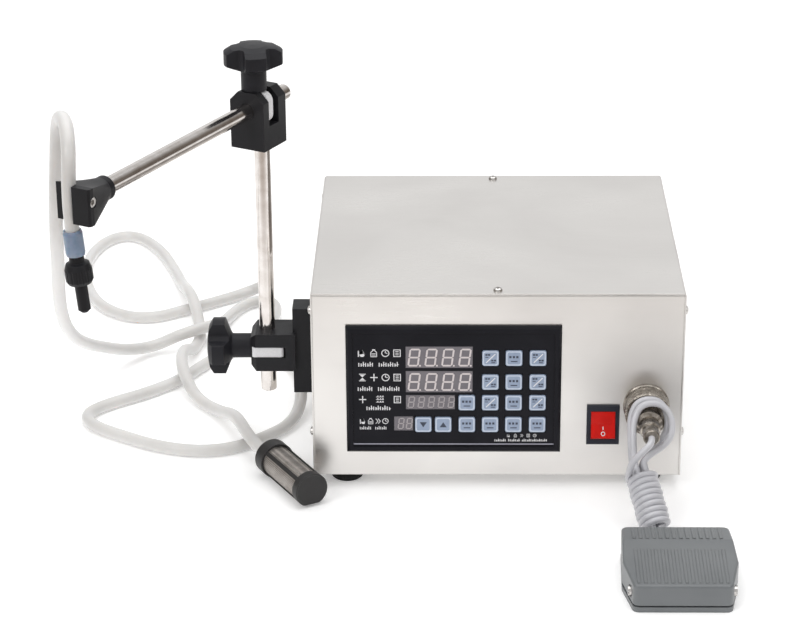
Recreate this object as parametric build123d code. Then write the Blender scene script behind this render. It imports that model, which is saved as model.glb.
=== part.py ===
"""Bench-top liquid filler: a steel housing with a digital filling-time panel, a small plunger pump,
a clamped mast and arm that hold the nozzle, two silicone hoses, a suction strainer and a foot pedal.

Millimetres, +Z up. The origin is on the floor at the centre of the housing's footprint, and the
front panel faces -Y. Each function below returns the solids of one sub-part.
"""

import math
import os

from build123d import *

# Housing
HOUSING_W = 280.0
HOUSING_D = 255.0
HOUSING_H = 150.0
FOOT_H = 11.0
SHEET = 1.2
FLANGE = 14.0
PANEL_RECESS = 0.5

LEFT = -HOUSING_W / 2
RIGHT = HOUSING_W / 2
FRONT = -HOUSING_D / 2
REAR = HOUSING_D / 2
TOP = FOOT_H + HOUSING_H
PANEL_Y = FRONT + PANEL_RECESS
SCREW_INSET = 7.0
SCREW_HEIGHTS = (45.0, 145.0)
FOOT_X = 115.0
FOOT_Y = 105.5

# Control panel, centred on the front panel's left part
BEZEL_X = (-114.0, 48.0)
BEZEL_Z = (31.5, 135.4)
BEZEL_T = 4.0
BEZEL_RIM = 5.0
BEZEL_DEPTH = 23.0
OVERLAY_Y = PANEL_Y - BEZEL_T + 1.0
KEY = 12.5
KEY_GAP = 0.3
KEY_TRAVEL = 0.4
KEY_ROWS = {
    110.0: (-5.3, 12.3, 30.3),
    90.3: (-5.3, 12.3, 30.3),
    73.2: (-23.0, -5.3, 12.3, 30.3),
    55.0: (-55.9, -40.8, -22.9, -5.3, 12.3, 30.3),
}
WINDOWS = {
    "filling_time": (-69.0, -18.7, 101.6, 119.3),
    "waiting_time": (-69.0, -18.7, 81.5, 99.2),
    "counter": (-69.0, -32.0, 67.4, 79.3),
    "speed": (-78.0, -63.6, 49.6, 61.5),
}
BOARD_Y = PANEL_Y + 9.4
BOARD_T = 1.6

# Power switch
SWITCH_X = 80.2
SWITCH_Z = 53.7
SWITCH_W = 24.8
SWITCH_H = 32.6
ROCKER_PIVOT_Y = PANEL_Y + 1.6
ROCKER_R = 11.8
ROCKER_W = 18.2
ROCKER_TILT = 12.0

# Pedal socket, plug and lead
PLUG_X = 112.5
PLUG_Z = 70.0
PLUG_END_Y = -185.5
NUT_R = 17.0
LEAD_D = 5.0
HANK_LOW = (115.7, -218.5, 10.8)
HANK_HIGH = (105.2, -182.0, 40.5)
HANK_R = 12.2

# Mast, clamps and arm
ROD_R = 6.0
RUN = 0.05
MAST_X = -176.0
MAST_Y = -77.5
MAST_LOW = 61.0
MAST_HIGH = 278.5
CLAMP_Z = 97.3
CLAMP_END_X = -188.3
ARM_Z = 292.7
ARM_AZIMUTH = -118.06
ARM_FRONT = 212.0
ARM_REAR = -33.5
BLOCK_LOW = 263.0
BLOCK_HIGH = 307.0
BLOCK_REAR = -11.5
BLOCK_FRONT = 19.5
BLOCK_HALF = 14.5
LOWER_EYE_T = 7.9
UPPER_EYE_T = 6.4
EYE_AT = 8.6
KNOB_PLAY = 1.1
KNOB_R = 21.8
KNOB_NECK = 15.5
KNOB_HEAD = 18.5

# Nozzle, hanging in the clip
JAW_AT = 235.5
JAW_ASIDE = -5.0
JAW_FRONT = 240.5
JAW_HALF = 15.0
JAW_LOW = 279.5
JAW_HIGH = 306.0
COLLAR_AT = 201.0
CLIP_SCREW_AT = 235.0
CLIP_SCREW_Z = 295.5
HOSE_D = 10.0
ARM_DIR = (math.cos(math.radians(ARM_AZIMUTH)), math.sin(math.radians(ARM_AZIMUTH)))
NOZZLE_X = MAST_X + JAW_AT * ARM_DIR[0] - JAW_ASIDE * ARM_DIR[1]
NOZZLE_Y = MAST_Y + JAW_AT * ARM_DIR[1] + JAW_ASIDE * ARM_DIR[0]

# The nozzle's heights are along its leaning axis, from the jaws' underside
NOZZLE_LEAN = math.radians(5.3)
SLEEVE_LOW = -25.0
SLEEVE_HIGH = -7.0
TIP_LOW = -65.0
TIP_R = 4.4
HOSE_START = (
    NOZZLE_X - SLEEVE_LOW * math.sin(NOZZLE_LEAN),
    NOZZLE_Y,
    JAW_LOW + SLEEVE_LOW * math.cos(NOZZLE_LEAN),
)

# Pump, behind the left side panel
PUMP_Y = 36.5
CRANK_X = -116.0
CRANK_Z = 62.0
THROW = 3.0
CAM_R = 5.0
PLUNGER_R = 6.0
PORT_X = -157.0
OUTLET_PORT_Y = 22.5
INLET_PORT_Y = 50.5
PORT_Z = 60.0
PORT_END = 44.0

# Strainer, lying on the floor
STRAINER_CAP = (-174.7, -99.6, 14.0)
STRAINER_END = (-139.6, -160.6, 14.0)
STRAINER_R = 14.0

# Foot pedal
PEDAL_X = 127.0
PEDAL_REAR = -237.5
PEDAL_WIDEST = -288.5
PEDAL_FRONT = -320.0
PEDAL_RIDGE = -262.0
PEDAL_HALF_REAR = 38.8
PEDAL_HALF_WIDEST = 41.0
PEDAL_HALF_FRONT = 34.5
PEDAL_PIVOT_Y = -310.0
PEDAL_PIVOT_Z = 12.0
PEDAL_WALL = 2.4
PEDAL_RIBS = 14
PEDAL_RIB_PITCH = 4.78

# Routes of the hoses and of the pedal's lead: the ends and corners of straight runs
OUTLET_TOP_ROUTE = [
    HOSE_START,
    (NOZZLE_X, NOZZLE_Y, JAW_LOW),
    (NOZZLE_X, NOZZLE_Y, 307.0),
    (-290.0, -280.5, 328.0),
    (-293.5, -261.0, 341.0),
    (-301.5, -237.5, 339.0),
    (-306.5, -221.0, 321.0),
    (-308.5, -219.5, 296.0),
]
OUTLET_ROUTE = [
    (-308.5, -219.5, 296.0),
    (-310.5, -218.0, 271.0),
    (-314.4, -201.5, 237.0),
    (-319.9, -167.5, 202.8),
    (-327.1, -127.5, 165.7),
    (-333.5, -82.5, 127.2),
    (-336.5, -35.5, 91.0),
    (-333.3, 12.5, 60.0),
    (-324.1, 60.5, 34.9),
    (-310.0, 101.0, 14.0),
    (-289.0, 125.0, 6.5),
    (-265.0, 127.5, 17.5),
    (-242.5, 144.0, 17.5),
    (-233.0, 177.0, 7.0),
    (-225.0, 207.0, 5.0),
    (-216.5, 222.5, 5.0),
    (-205.0, 231.0, 5.0),
    (-193.0, 227.0, 5.0),
    (-188.5, 211.0, 5.0),
    (-190.5, 186.0, 5.0),
    (-198.0, 155.0, 5.0),
    (-212.0, 131.0, 5.0),
    (-230.0, 111.0, 5.0),
    (-243.0, 92.0, 5.0),
    (-258.0, 62.0, 5.0),
    (-285.0, 34.0, 5.0),
    (-316.0, 12.0, 5.0),
    (-331.5, -8.0, 5.0),
    (-322.0, -29.0, 5.0),
    (-300.0, -45.0, 5.0),
    (-266.0, -67.0, 5.0),
    (-232.0, -76.0, 5.0),
    (-205.0, -69.0, 5.0),
    (-184.0, -51.0, 5.0),
    (-164.5, -28.0, 5.0),
    (-156.5, 2.0, 8.0),
    (-157.0, 22.5, 23.5),
    (-157.0, 22.5, PORT_END),
]
SUCTION_ROUTE = [
    (-157.0, 50.5, PORT_END),
    (-157.0, 50.5, 23.0),
    (-166.0, 81.0, 5.5),
    (-180.5, 115.0, 6.5),
    (-192.0, 142.0, 17.8),
    (-196.0, 172.0, 17.0),
    (-197.0, 207.0, 17.5),
    (-199.0, 240.0, 17.5),
    (-214.0, 250.0, 6.5),
    (-236.0, 234.0, 5.0),
    (-263.0, 214.0, 5.0),
    (-303.0, 186.0, 5.0),
    (-343.0, 210.0, 5.0),
    (-366.0, 268.0, 5.0),
    (-372.0, 333.0, 5.0),
    (-358.0, 382.0, 5.0),
    (-333.0, 392.0, 5.0),
    (-306.5, 356.0, 5.0),
    (-287.5, 303.0, 5.0),
    (-275.5, 258.0, 7.5),
    (-268.0, 226.0, 17.5),
    (-259.5, 196.0, 17.5),
    (-253.0, 169.0, 6.0),
    (-250.5, 143.0, 5.0),
    (-255.0, 119.0, 6.0),
    (-260.0, 98.0, 16.5),
    (-260.0, 72.0, 18.0),
    (-255.0, 46.0, 15.5),
    (-243.0, 22.0, 5.0),
    (-222.0, -4.5, 6.0),
    (-207.0, -33.0, 17.5),
    (-193.0, -67.0, 17.5),
    (-183.7, -84.0, 14.0),
    (-175.7, -97.9, 14.0),
]
LEAD_ROUTE = [
    (PLUG_X, PLUG_END_Y, PLUG_Z),
    (PLUG_X, -192.5, PLUG_Z),
    (107.0, -197.0, 65.0),
    (99.5, -196.0, 57.0),
    (94.5, -190.0, 48.5),
    (95.5, -186.0, 40.0),
]


def block(x0, x1, y0, y1, z0, z1):
    """A box from its lowest to its highest corner."""
    centre = Pos((x0 + x1) / 2, (y0 + y1) / 2, (z0 + z1) / 2)
    return centre * Box(x1 - x0, y1 - y0, z1 - z0)


def rod(radius, start, end):
    """A cylinder between two points."""
    along = Vector(*end) - Vector(*start)
    base = (Align.CENTER, Align.CENTER, Align.MIN)
    return Plane(origin=start, z_dir=along) * Cylinder(radius, along.length, align=base)


def turned(outline, origin, along):
    """A turned solid: the outline holds (radius, distance along the axis) pairs."""
    edge = Polyline(*[(r, 0, h) for r, h in outline], close=True)
    return Plane(origin=origin, z_dir=along) * revolve(make_face(edge), Axis.Z)


def prism(outline, plane, length):
    """An outline drawn in a plane and extruded along that plane's normal."""
    return extrude(plane * make_face(Polyline(*outline, close=True)), length)


def tube(points, diameter, name):
    """A cord or hose: straight runs joined by tangent arcs as large as the runs allow."""
    corners = [Vector(*p) for p in points]
    runs = [b - a for a, b in zip(corners, corners[1:])]
    radii = []
    for first, second in zip(runs, runs[1:]):
        half_turn = math.radians(first.get_angle(second)) / 2
        radii.append(0.45 * min(first.length, second.length) / math.tan(half_turn))
    line = FilletPolyline(*points, radius=radii)
    solid = sweep(Plane(origin=line @ 0, z_dir=line % 0) * Circle(diameter / 2), path=line)
    share = solid.volume / (math.pi * diameter**2 / 4 * line.length)
    print(f"{name}: length {line.length:.0f}, volume share {share:.3f}, radii", [round(r) for r in radii])
    return solid


def coil_spring(radius, wire, low, high, turns, centre):
    """An open-wound compression spring on a vertical axis."""
    pitch = (high - low - wire) / turns
    line = Helix(pitch=pitch, height=pitch * turns, radius=radius)
    section = Plane(origin=line @ 0, z_dir=line % 0) * Circle(wire / 2)
    return Pos(centre[0], centre[1], low + wire / 2) * sweep(section, path=line, is_frenet=True)


def pan_screw(origin, inward, shank_r=1.9, length=8.0):
    """A pan-head screw with a cross recess. The origin is where its head meets the surface."""
    screw = turned(
        [(0, -2.2), (1.8, -2.2), (3.1, -1.5), (3.5, 0), (shank_r, 0), (shank_r, length), (0, length)],
        origin,
        inward,
    )
    slot = Pos(0, 0, -1.9) * (Box(4.2, 0.9, 1.4) + Box(0.9, 4.2, 1.4))
    return screw - Plane(origin=origin, z_dir=inward) * slot


# ---------------------------------------------------------------- housing


def side_screw_places():
    """Where the side screws go: the point on the outer face and the inward direction."""
    places = []
    for x, inward in ((LEFT, (1, 0, 0)), (RIGHT, (-1, 0, 0))):
        for y in (FRONT + SCREW_INSET, REAR - SCREW_INSET):
            places += [((x, y, z), inward) for z in SCREW_HEIGHTS]
    return places


def top_screw_places():
    return [((0, y, TOP), (0, 0, -1)) for y in (FRONT + SCREW_INSET, REAR - SCREW_INSET)]


def foot_places():
    return [(sx * FOOT_X, sy * FOOT_Y) for sx in (-1, 1) for sy in (-1, 1)]


def bracket_screw_places():
    """Two screws from inside the housing into the mast bracket's plate."""
    return [((LEFT + SHEET, MAST_Y, z), (-1, 0, 0)) for z in (CLAMP_Z - 26, CLAMP_Z + 26)]


def screw_holes(radius):
    """Clearance holes for the screws that hold the cover to the chassis."""
    holes = []
    for (x, y, z), (dx, dy, dz) in side_screw_places() + top_screw_places():
        holes.append(rod(radius, (x - dx, y - dy, z - dz), (x + 4 * dx, y + 4 * dy, z + 4 * dz)))
    return holes


def base_chassis():
    """Floor pan with front and rear panels, each flanged for the cover's screws."""
    wide = HOUSING_W / 2 - SHEET
    deep = HOUSING_D / 2 - PANEL_RECESS
    outer = block(-wide, wide, -deep, deep, FOOT_H, TOP - SHEET)
    outer = fillet(outer.edges().filter_by(Axis.X).group_by(Axis.Z)[-1], 1.5)
    inner = block(-wide + SHEET, wide - SHEET, -deep + SHEET, deep - SHEET, FOOT_H + SHEET, TOP - 2 * SHEET)
    middle = block(-wide, wide, -deep + FLANGE, deep - FLANGE, FOOT_H + SHEET, TOP)
    pan = outer - inner - middle
    cuts = screw_holes(2.0)
    x0, x1 = BEZEL_X
    z0, z1 = BEZEL_Z
    cuts.append(block(x0 + 4.6, x1 - 4.6, FRONT, FRONT + 3, z0 + 4.6, z1 - 4.6))
    cuts.append(block(SWITCH_X - 11.2, SWITCH_X + 11.2, FRONT, FRONT + 3, SWITCH_Z - 15.1, SWITCH_Z + 15.1))
    cuts.append(rod(8.1, (PLUG_X, FRONT, PLUG_Z), (PLUG_X, FRONT + 3, PLUG_Z)))
    cuts.append(block(56.2, 103.8, REAR - 3, REAR, 36.2, 63.8))
    for row in range(6):
        z = 92 + row * 9
        cuts.append(block(-100, -40, REAR - 3, REAR, z, z + 3))
    for x, y in foot_places():
        cuts.append(rod(2.0, (x, y, FOOT_H - 1), (x, y, FOOT_H + 3)))
    return [pan - cuts]


def top_cover():
    """The folded cover: top and both sides in one sheet."""
    outer = block(LEFT, RIGHT, FRONT, REAR, FOOT_H, TOP)
    outer = fillet(outer.edges().filter_by(Axis.Y).group_by(Axis.Z)[-1], 2.4)
    inner = block(LEFT + SHEET, RIGHT - SHEET, FRONT - 1, REAR + 1, FOOT_H - 1, TOP - SHEET)
    cuts = screw_holes(2.0)
    for y in (OUTLET_PORT_Y, INLET_PORT_Y):
        cuts.append(rod(6.0, (LEFT - 1, y, PORT_Z), (LEFT + 3, y, PORT_Z)))
    for (x, y, z), _ in bracket_screw_places():
        cuts.append(rod(2.0, (x - 3, y, z), (x + 3, y, z)))
    return [outer - inner - cuts]


def housing_screws():
    screws = [pan_screw(*place) for place in side_screw_places() + top_screw_places()]
    screws += [pan_screw(*place) for place in bracket_screw_places()]
    screws += [pan_screw((x, y, 5.0), (0, 0, 1), length=12.0) for x, y in foot_places()]
    return screws


def rubber_feet():
    feet = []
    for x, y in foot_places():
        outline = [(2.0, 5.0), (4.6, 5.0), (4.6, 0), (11.0, 0), (12.0, 1.0), (13.0, FOOT_H), (2.0, FOOT_H)]
        feet.append(turned(outline, (x, y, 0), (0, 0, 1)))
    return feet


# ---------------------------------------------------------------- control panel


def key_places():
    """Name and centre of each key, from the top row down and from left to right."""
    places = {}
    for row, (z, columns) in enumerate(KEY_ROWS.items(), 1):
        for column, x in enumerate(columns, 1):
            places[f"key_row{row}_{column}"] = (x, z)
    return places


def panel_bezel():
    """Moulded front with a raised rim, key holes and display windows, and a box behind it."""
    x0, x1 = BEZEL_X
    z0, z1 = BEZEL_Z
    frame = block(x0, x1, PANEL_Y - BEZEL_T, PANEL_Y, z0, z1)
    frame = chamfer(frame.faces().sort_by(Axis.Y)[0].edges(), 2.0)
    rim = BEZEL_RIM
    recess = block(x0 + rim, x1 - rim, PANEL_Y - 5, OVERLAY_Y, z0 + rim, z1 - rim)
    box = block(x0 + 4.8, x1 - 4.8, PANEL_Y, PANEL_Y + BEZEL_DEPTH, z0 + 4.8, z1 - 4.8)
    hollow = block(x0 + 6.4, x1 - 6.4, PANEL_Y, PANEL_Y + BEZEL_DEPTH, z0 + 6.4, z1 - 6.4)
    half = KEY / 2 + KEY_GAP
    cuts = [block(a, b, PANEL_Y - 5, PANEL_Y, c, d) for a, b, c, d in WINDOWS.values()]
    for x, z in key_places().values():
        cuts.append(block(x - half, x + half, PANEL_Y - 5, PANEL_Y, z - half, z + half))
    return [frame + box - hollow - recess - cuts]


def display_lenses():
    return [block(a, b, OVERLAY_Y + 0.3, OVERLAY_Y + 1.8, c, d) for a, b, c, d in WINDOWS.values()]


def control_board():
    """Circuit board with its LED digit blocks and one tactile switch under each key."""
    x0, x1 = BEZEL_X[0] + 6.4, BEZEL_X[1] - 6.4
    z0, z1 = BEZEL_Z[0] + 6.4, BEZEL_Z[1] - 6.4
    pieces = [block(x0, x1, BOARD_Y, BOARD_Y + BOARD_T, z0, z1)]
    pieces += [block(a, b, BOARD_Y - 8, BOARD_Y, c, d) for a, b, c, d in WINDOWS.values()]
    for x, z in key_places().values():
        pieces.append(block(x - 3, x + 3, BOARD_Y - 3.5, BOARD_Y, z - 3, z + 3))
        pieces.append(rod(1.75, (x, BOARD_Y - 3.5, z), (x, BOARD_Y - 4.3, z)))
    pieces.append(block(x0 + 20, x0 + 50, BOARD_Y + BOARD_T, BOARD_Y + BOARD_T + 8, z0 + 6, z0 + 12))
    return [pieces[0] + pieces[1:]]


def key_cap(x, z):
    """A square cap with a retaining flange behind the panel and a stem to its switch."""
    front = OVERLAY_Y - 0.9
    cap = block(x - KEY / 2, x + KEY / 2, front, PANEL_Y + 0.9, z - KEY / 2, z + KEY / 2)
    cap = fillet(cap.edges().filter_by(Axis.Y), 1.6)
    cap = fillet(cap.faces().sort_by(Axis.Y)[0].edges(), 0.35)
    flange = block(x - 7.2, x + 7.2, PANEL_Y + 0.1, PANEL_Y + 0.9, z - 7.2, z + 7.2)
    stem = rod(2.0, (x, PANEL_Y + 0.9, z), (x, BOARD_Y - 4.3 - KEY_TRAVEL - 0.1, z))
    return [cap + flange + stem]


# ---------------------------------------------------------------- power switch


def rocker_pocket(radius, width):
    pivot = Vector(SWITCH_X, ROCKER_PIVOT_Y, SWITCH_Z)
    half = Vector(width / 2, 0, 0)
    return rod(radius, tuple(pivot - half), tuple(pivot + half))


def rocker_housing():
    frame = block(
        SWITCH_X - SWITCH_W / 2,
        SWITCH_X + SWITCH_W / 2,
        PANEL_Y - 2,
        PANEL_Y,
        SWITCH_Z - SWITCH_H / 2,
        SWITCH_Z + SWITCH_H / 2,
    )
    frame = chamfer(frame.faces().sort_by(Axis.Y)[0].edges(), 0.7)
    body = block(SWITCH_X - 11, SWITCH_X + 11, PANEL_Y, PANEL_Y + 23, SWITCH_Z - 15, SWITCH_Z + 15)
    pocket = rocker_pocket(ROCKER_R + 0.2, ROCKER_W + 0.3)
    pin_bore = rocker_pocket(1.25, ROCKER_W + 2.2)
    blades = []
    for x in (SWITCH_X - 6.2, SWITCH_X + 6.2):
        for z in (SWITCH_Z - 7, SWITCH_Z + 7):
            blades.append(block(x - 0.4, x + 0.4, PANEL_Y + 23, PANEL_Y + 31, z - 2.4, z + 2.4))
    return [frame + body - pocket - pin_bore + blades]


def rocker_lever():
    """The rocker in its off position: lower half pressed in, upper half standing out."""
    vee = [(0, -4.0), (20, -4.0 - 20 * math.tan(math.radians(ROCKER_TILT))), (20, 2.5), (-20, 2.5)]
    vee.append((-20, -4.0 - 20 * math.tan(math.radians(ROCKER_TILT))))
    outline = [(SWITCH_X - 15, y, z) for z, y in vee]
    wedge = extrude(make_face(Polyline(*outline, close=True)), 30, dir=(1, 0, 0))
    tilted = Rot(X=-ROCKER_TILT) * wedge
    placed = Pos(0, ROCKER_PIVOT_Y, SWITCH_Z) * tilted
    pin = rocker_pocket(1.2, ROCKER_W + 2.0)
    return [(placed & rocker_pocket(ROCKER_R, ROCKER_W)) + pin]


# ---------------------------------------------------------------- pedal socket, plug and lead


def socket_shell():
    outline = [(0, 17), (7.8, 17), (7.8, 4.3), (11.0, 4.3), (11.0, 1.3), (8.0, 1.3), (8.0, 0), (17.5, 0)]
    outline += [(17.5, -2.4), (16.7, -3.2), (11.0, -4.0), (8.0, -4.0), (8.0, -15.0), (6.4, -15.0)]
    outline += [(6.4, -9.0), (0, -9.0)]
    return [turned(outline, (PLUG_X, PANEL_Y, PLUG_Z), (0, 1, 0))]


def plug_shell():
    """Coupling nut, shell, cable clamp and end nut of the round metal plug."""
    length = PANEL_Y - PLUG_END_Y
    outline = [(0, 11.0), (6.2, 11.0), (6.2, 15.6), (8.1, 15.6), (8.1, 4.2), (NUT_R - 0.6, 4.2)]
    outline += [(NUT_R, 5.0), (NUT_R, 17.0), (NUT_R - 0.8, 18.0), (NUT_R - 2.0, 18.0), (NUT_R - 3.0, 13.0)]
    outline += [(10.0, 13.0), (10.0, 34.0), (7.4, 35.5), (7.4, 46.0)]
    outline += [(6.2, 46.6), (6.2, length - 1), (5.4, length), (0, length)]
    return [turned(outline, (PLUG_X, PANEL_Y, PLUG_Z), (0, -1, 0))]


def hank_frame():
    """Unit vectors of the hank: up along it, sideways and outwards."""
    along = (Vector(*HANK_HIGH) - Vector(*HANK_LOW)).normalized()
    side = along.cross(Vector(0, 0, 1)).normalized()
    return along, side, side.cross(along)


def loop_route(middle, out):
    """One bight that rises from the hank's top, goes over the plug and comes back down."""
    along, side, normal = hank_frame()
    top = Vector(*HANK_HIGH)
    left = top - side * 3.4 + normal * out
    right = top + side * 3.4 + normal * out
    return [tuple(left), tuple(left + along * 9)] + middle + [tuple(right + along * 9), tuple(right)]


def pedal_cord():
    """The stretches of the lead that aren't wound: from the plug, the two bights, and to the pedal."""
    rear_loop = [
        (98.6, -162.0, 62.0),
        (98.8, -154.0, 74.0),
        (105.0, -150.8, 85.4),
        (120.5, -150.8, 85.4),
        (127.0, -153.5, 74.0),
        (125.6, -162.0, 61.0),
    ]
    front_loop = [
        (100.3, -171.5, 60.0),
        (100.2, -162.5, 73.0),
        (106.5, -157.4, 85.4),
        (122.5, -157.4, 85.4),
        (130.2, -161.0, 73.0),
        (127.6, -170.5, 59.5),
    ]
    along = hank_frame()[0]
    low = Vector(*HANK_LOW)
    to_pedal = [tuple(low), tuple(low - along * 6), (117.6, -231.0, 6.8), (117.6, PEDAL_REAR - 1.5, 6.8)]
    return [
        tube(LEAD_ROUTE, LEAD_D, "lead from plug"),
        tube(loop_route(rear_loop, -3.3), LEAD_D, "rear bight"),
        tube(loop_route(front_loop, 3.3), LEAD_D, "front bight"),
        tube(to_pedal, LEAD_D, "lead to pedal"),
    ]


def cord_hank():
    return [rod(HANK_R, HANK_LOW, HANK_HIGH)]


# ---------------------------------------------------------------- mast and clamps


def clamp_knob(stud):
    """A four-lobe knob on +Z: a stud below zero, a neck above it and a domed head."""
    lobes = Rectangle(2 * KNOB_R, 16) + Rectangle(16, 2 * KNOB_R) + Circle(13.5)
    star = fillet(extrude(lobes, 50).edges().filter_by(Axis.Z), 2.6)
    under = KNOB_NECK
    top = KNOB_NECK + KNOB_HEAD
    outline = [(0, under - 1), (9.5, under - 1), (12.0, under + 0.5), (KNOB_R, under + 4.5)]
    outline.append((KNOB_R, top - 4.8))
    outline += [(17.0, top - 1.8), (9.0, top - 0.4), (0, top)]
    head = turned(outline, (0, 0, 0), (0, 0, 1))
    neck = [(0, -stud), (3.9, -stud), (3.9, 0), (9.5, 0), (9.5, under + 2), (0, under + 2)]
    return (head & star) + turned(neck, (0, 0, 0), (0, 0, 1))


def mast_bracket():
    """Plate on the housing's side with a clamp block for the mast."""
    plate = block(-156, LEFT, MAST_Y - 10, MAST_Y + 10, CLAMP_Z - 35.3, CLAMP_Z + 34.5)
    clamp = block(CLAMP_END_X, -154, MAST_Y - 15, MAST_Y + 15, CLAMP_Z - 15.2, CLAMP_Z + 15.2)
    end = clamp.faces().sort_by(Axis.X)[0]
    clamp = chamfer(end.edges(), 4.0)
    slot = block(CLAMP_END_X - 1, -161.5, MAST_Y - 16, MAST_Y + 16, CLAMP_Z - 4.4, CLAMP_Z + 4.4)
    bore = rod(ROD_R + RUN, (MAST_X, MAST_Y, CLAMP_Z - 20), (MAST_X, MAST_Y, CLAMP_Z + 20))
    stud = rod(4.1, (CLAMP_END_X - 1, MAST_Y, CLAMP_Z), (-180, MAST_Y, CLAMP_Z))
    cuts = [slot, bore, stud]
    for (x, y, z), _ in bracket_screw_places():
        cuts.append(rod(1.9, (x, y, z), (x - 9, y, z)))
    return [plate + clamp - cuts]


def clamp_eye(height, width, thickness, corner, rod_at):
    """A nylon eye that a knob's stud draws against a rod. Local X points from the knob to the rod."""
    body = block(0, height, -width / 2, width / 2, -thickness / 2, thickness / 2)
    body = fillet(body.edges().filter_by(Axis.Z), corner)
    bore = rod(ROD_R + RUN, (rod_at, 0, -10), (rod_at, 0, 10))
    play = block(rod_at - KNOB_PLAY, rod_at, -ROD_R - RUN, ROD_R + RUN, -10, 10)
    far_bore = rod(ROD_R + RUN, (rod_at - KNOB_PLAY, 0, -10), (rod_at - KNOB_PLAY, 0, 10))
    stud = rod(4.0, (-1, 0, 0), (rod_at - ROD_R - 0.5, 0, 0))
    return body - bore - play - far_bore - stud


def lower_eye():
    start = CLAMP_END_X + 0.9
    return [Pos(start, MAST_Y, CLAMP_Z) * clamp_eye(24.4, 28.0, LOWER_EYE_T, 2.5, MAST_X - start)]


def lower_knob():
    place = Plane(origin=(CLAMP_END_X - 0.1, MAST_Y, CLAMP_Z), x_dir=(0, 1, 0), z_dir=(-1, 0, 0))
    return [place * clamp_knob(3.4)]


def mast():
    body = rod(ROD_R, (MAST_X, MAST_Y, MAST_LOW), (MAST_X, MAST_Y, MAST_HIGH))
    return [chamfer(body.edges().filter_by(GeomType.CIRCLE), 0.7)]


def arm_plane():
    """Local X along the arm towards the nozzle, local Z up, origin on the mast's axis."""
    angle = math.radians(ARM_AZIMUTH)
    return Plane(origin=(MAST_X, MAST_Y, 0), x_dir=(math.cos(angle), math.sin(angle), 0), z_dir=(0, 0, 1))


def cross_block():
    body = block(BLOCK_REAR, BLOCK_FRONT, -BLOCK_HALF, BLOCK_HALF, BLOCK_LOW, BLOCK_HIGH)
    roof = body.faces().sort_by(Axis.Z)[-1]
    body = chamfer(roof.edges().filter_by(Axis.X), 7.0)
    slot = block(-1.3, EYE_AT + UPPER_EYE_T / 2 + 0.2, -16, 16, 281.0, BLOCK_HIGH + 1)
    stud = rod(4.1, (EYE_AT, 0, BLOCK_HIGH - 8), (EYE_AT, 0, BLOCK_HIGH + 1))
    arm_bore = rod(ROD_R + RUN, (-25, 0, ARM_Z), (25, 0, ARM_Z))
    mast_bore = rod(ROD_R + RUN, (0, 0, BLOCK_LOW - 1), (0, 0, MAST_HIGH + 0.5))
    return [arm_plane() * (body - [slot, stud, arm_bore, mast_bore])]


def upper_eye():
    high = BLOCK_HIGH - 0.9
    stand = Plane(origin=(EYE_AT, 0, high), x_dir=(0, 0, -1), z_dir=(1, 0, 0))
    return [arm_plane() * (stand * clamp_eye(23.6, 28.0, UPPER_EYE_T, 7.0, high - ARM_Z))]


def upper_knob():
    place = Pos(EYE_AT, 0, BLOCK_HIGH + 0.1)
    return [arm_plane() * (place * Rot(Z=38) * clamp_knob(5.0))]


def arm_rod():
    body = rod(ROD_R, (ARM_REAR, 0, ARM_Z), (ARM_FRONT, 0, ARM_Z))
    return [arm_plane() * chamfer(body.edges().filter_by(GeomType.CIRCLE), 0.7)]


# ---------------------------------------------------------------- nozzle


def nozzle_clip():
    """Collar on the arm's end that widens into two jaws round the hose, open towards the front."""
    along = Plane(origin=(0, 0, ARM_Z), x_dir=(0, 1, 0), z_dir=(1, 0, 0))
    middle = (JAW_LOW + JAW_HIGH) / 2 - ARM_Z
    throat = along.offset(COLLAR_AT + 5) * Circle(8.7)
    mouth = along.offset(JAW_FRONT - 5) * (Pos(0, middle) * Rectangle(2 * JAW_HALF, JAW_HIGH - JAW_LOW))
    collar = rod(8.7, (COLLAR_AT, 0, ARM_Z), (ARM_FRONT, 0, ARM_Z))
    jaws = block(JAW_FRONT - 5, JAW_FRONT, -JAW_HALF, JAW_HALF, JAW_LOW, JAW_HIGH)
    jaws = chamfer(jaws.edges().filter_by(Axis.Z).group_by(Axis.X)[-1], 1.5)
    body = collar + loft([throat.face(), mouth.face()]) + jaws
    mouth_gap = block(JAW_AT, JAW_FRONT + 1, -11.0, 0.7, JAW_LOW - 1, JAW_HIGH + 1)
    left_front = block(JAW_AT + 0.5, JAW_FRONT + 1, -JAW_HALF - 1, -10.9, JAW_LOW - 1, JAW_HIGH + 1)
    channel = block(JAW_AT - 3, JAW_AT + 1, -11.0, JAW_ASIDE, JAW_LOW - 1, JAW_HIGH + 1)
    bore = rod(ROD_R + RUN, (COLLAR_AT - 1, 0, ARM_Z), (ARM_FRONT + 0.3, 0, ARM_Z))
    hose = rod(HOSE_D / 2 + 0.05, (JAW_AT, JAW_ASIDE, 250), (JAW_AT, JAW_ASIDE, 320))
    seat = rod(4.0, (CLIP_SCREW_AT, 20, CLIP_SCREW_Z), (CLIP_SCREW_AT, 10, CLIP_SCREW_Z))
    shank = rod(2.0, (CLIP_SCREW_AT, 20, CLIP_SCREW_Z), (CLIP_SCREW_AT, 0, CLIP_SCREW_Z))
    return [arm_plane() * (body - [mouth_gap, left_front, channel, bore, hose, seat, shank])]


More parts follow.
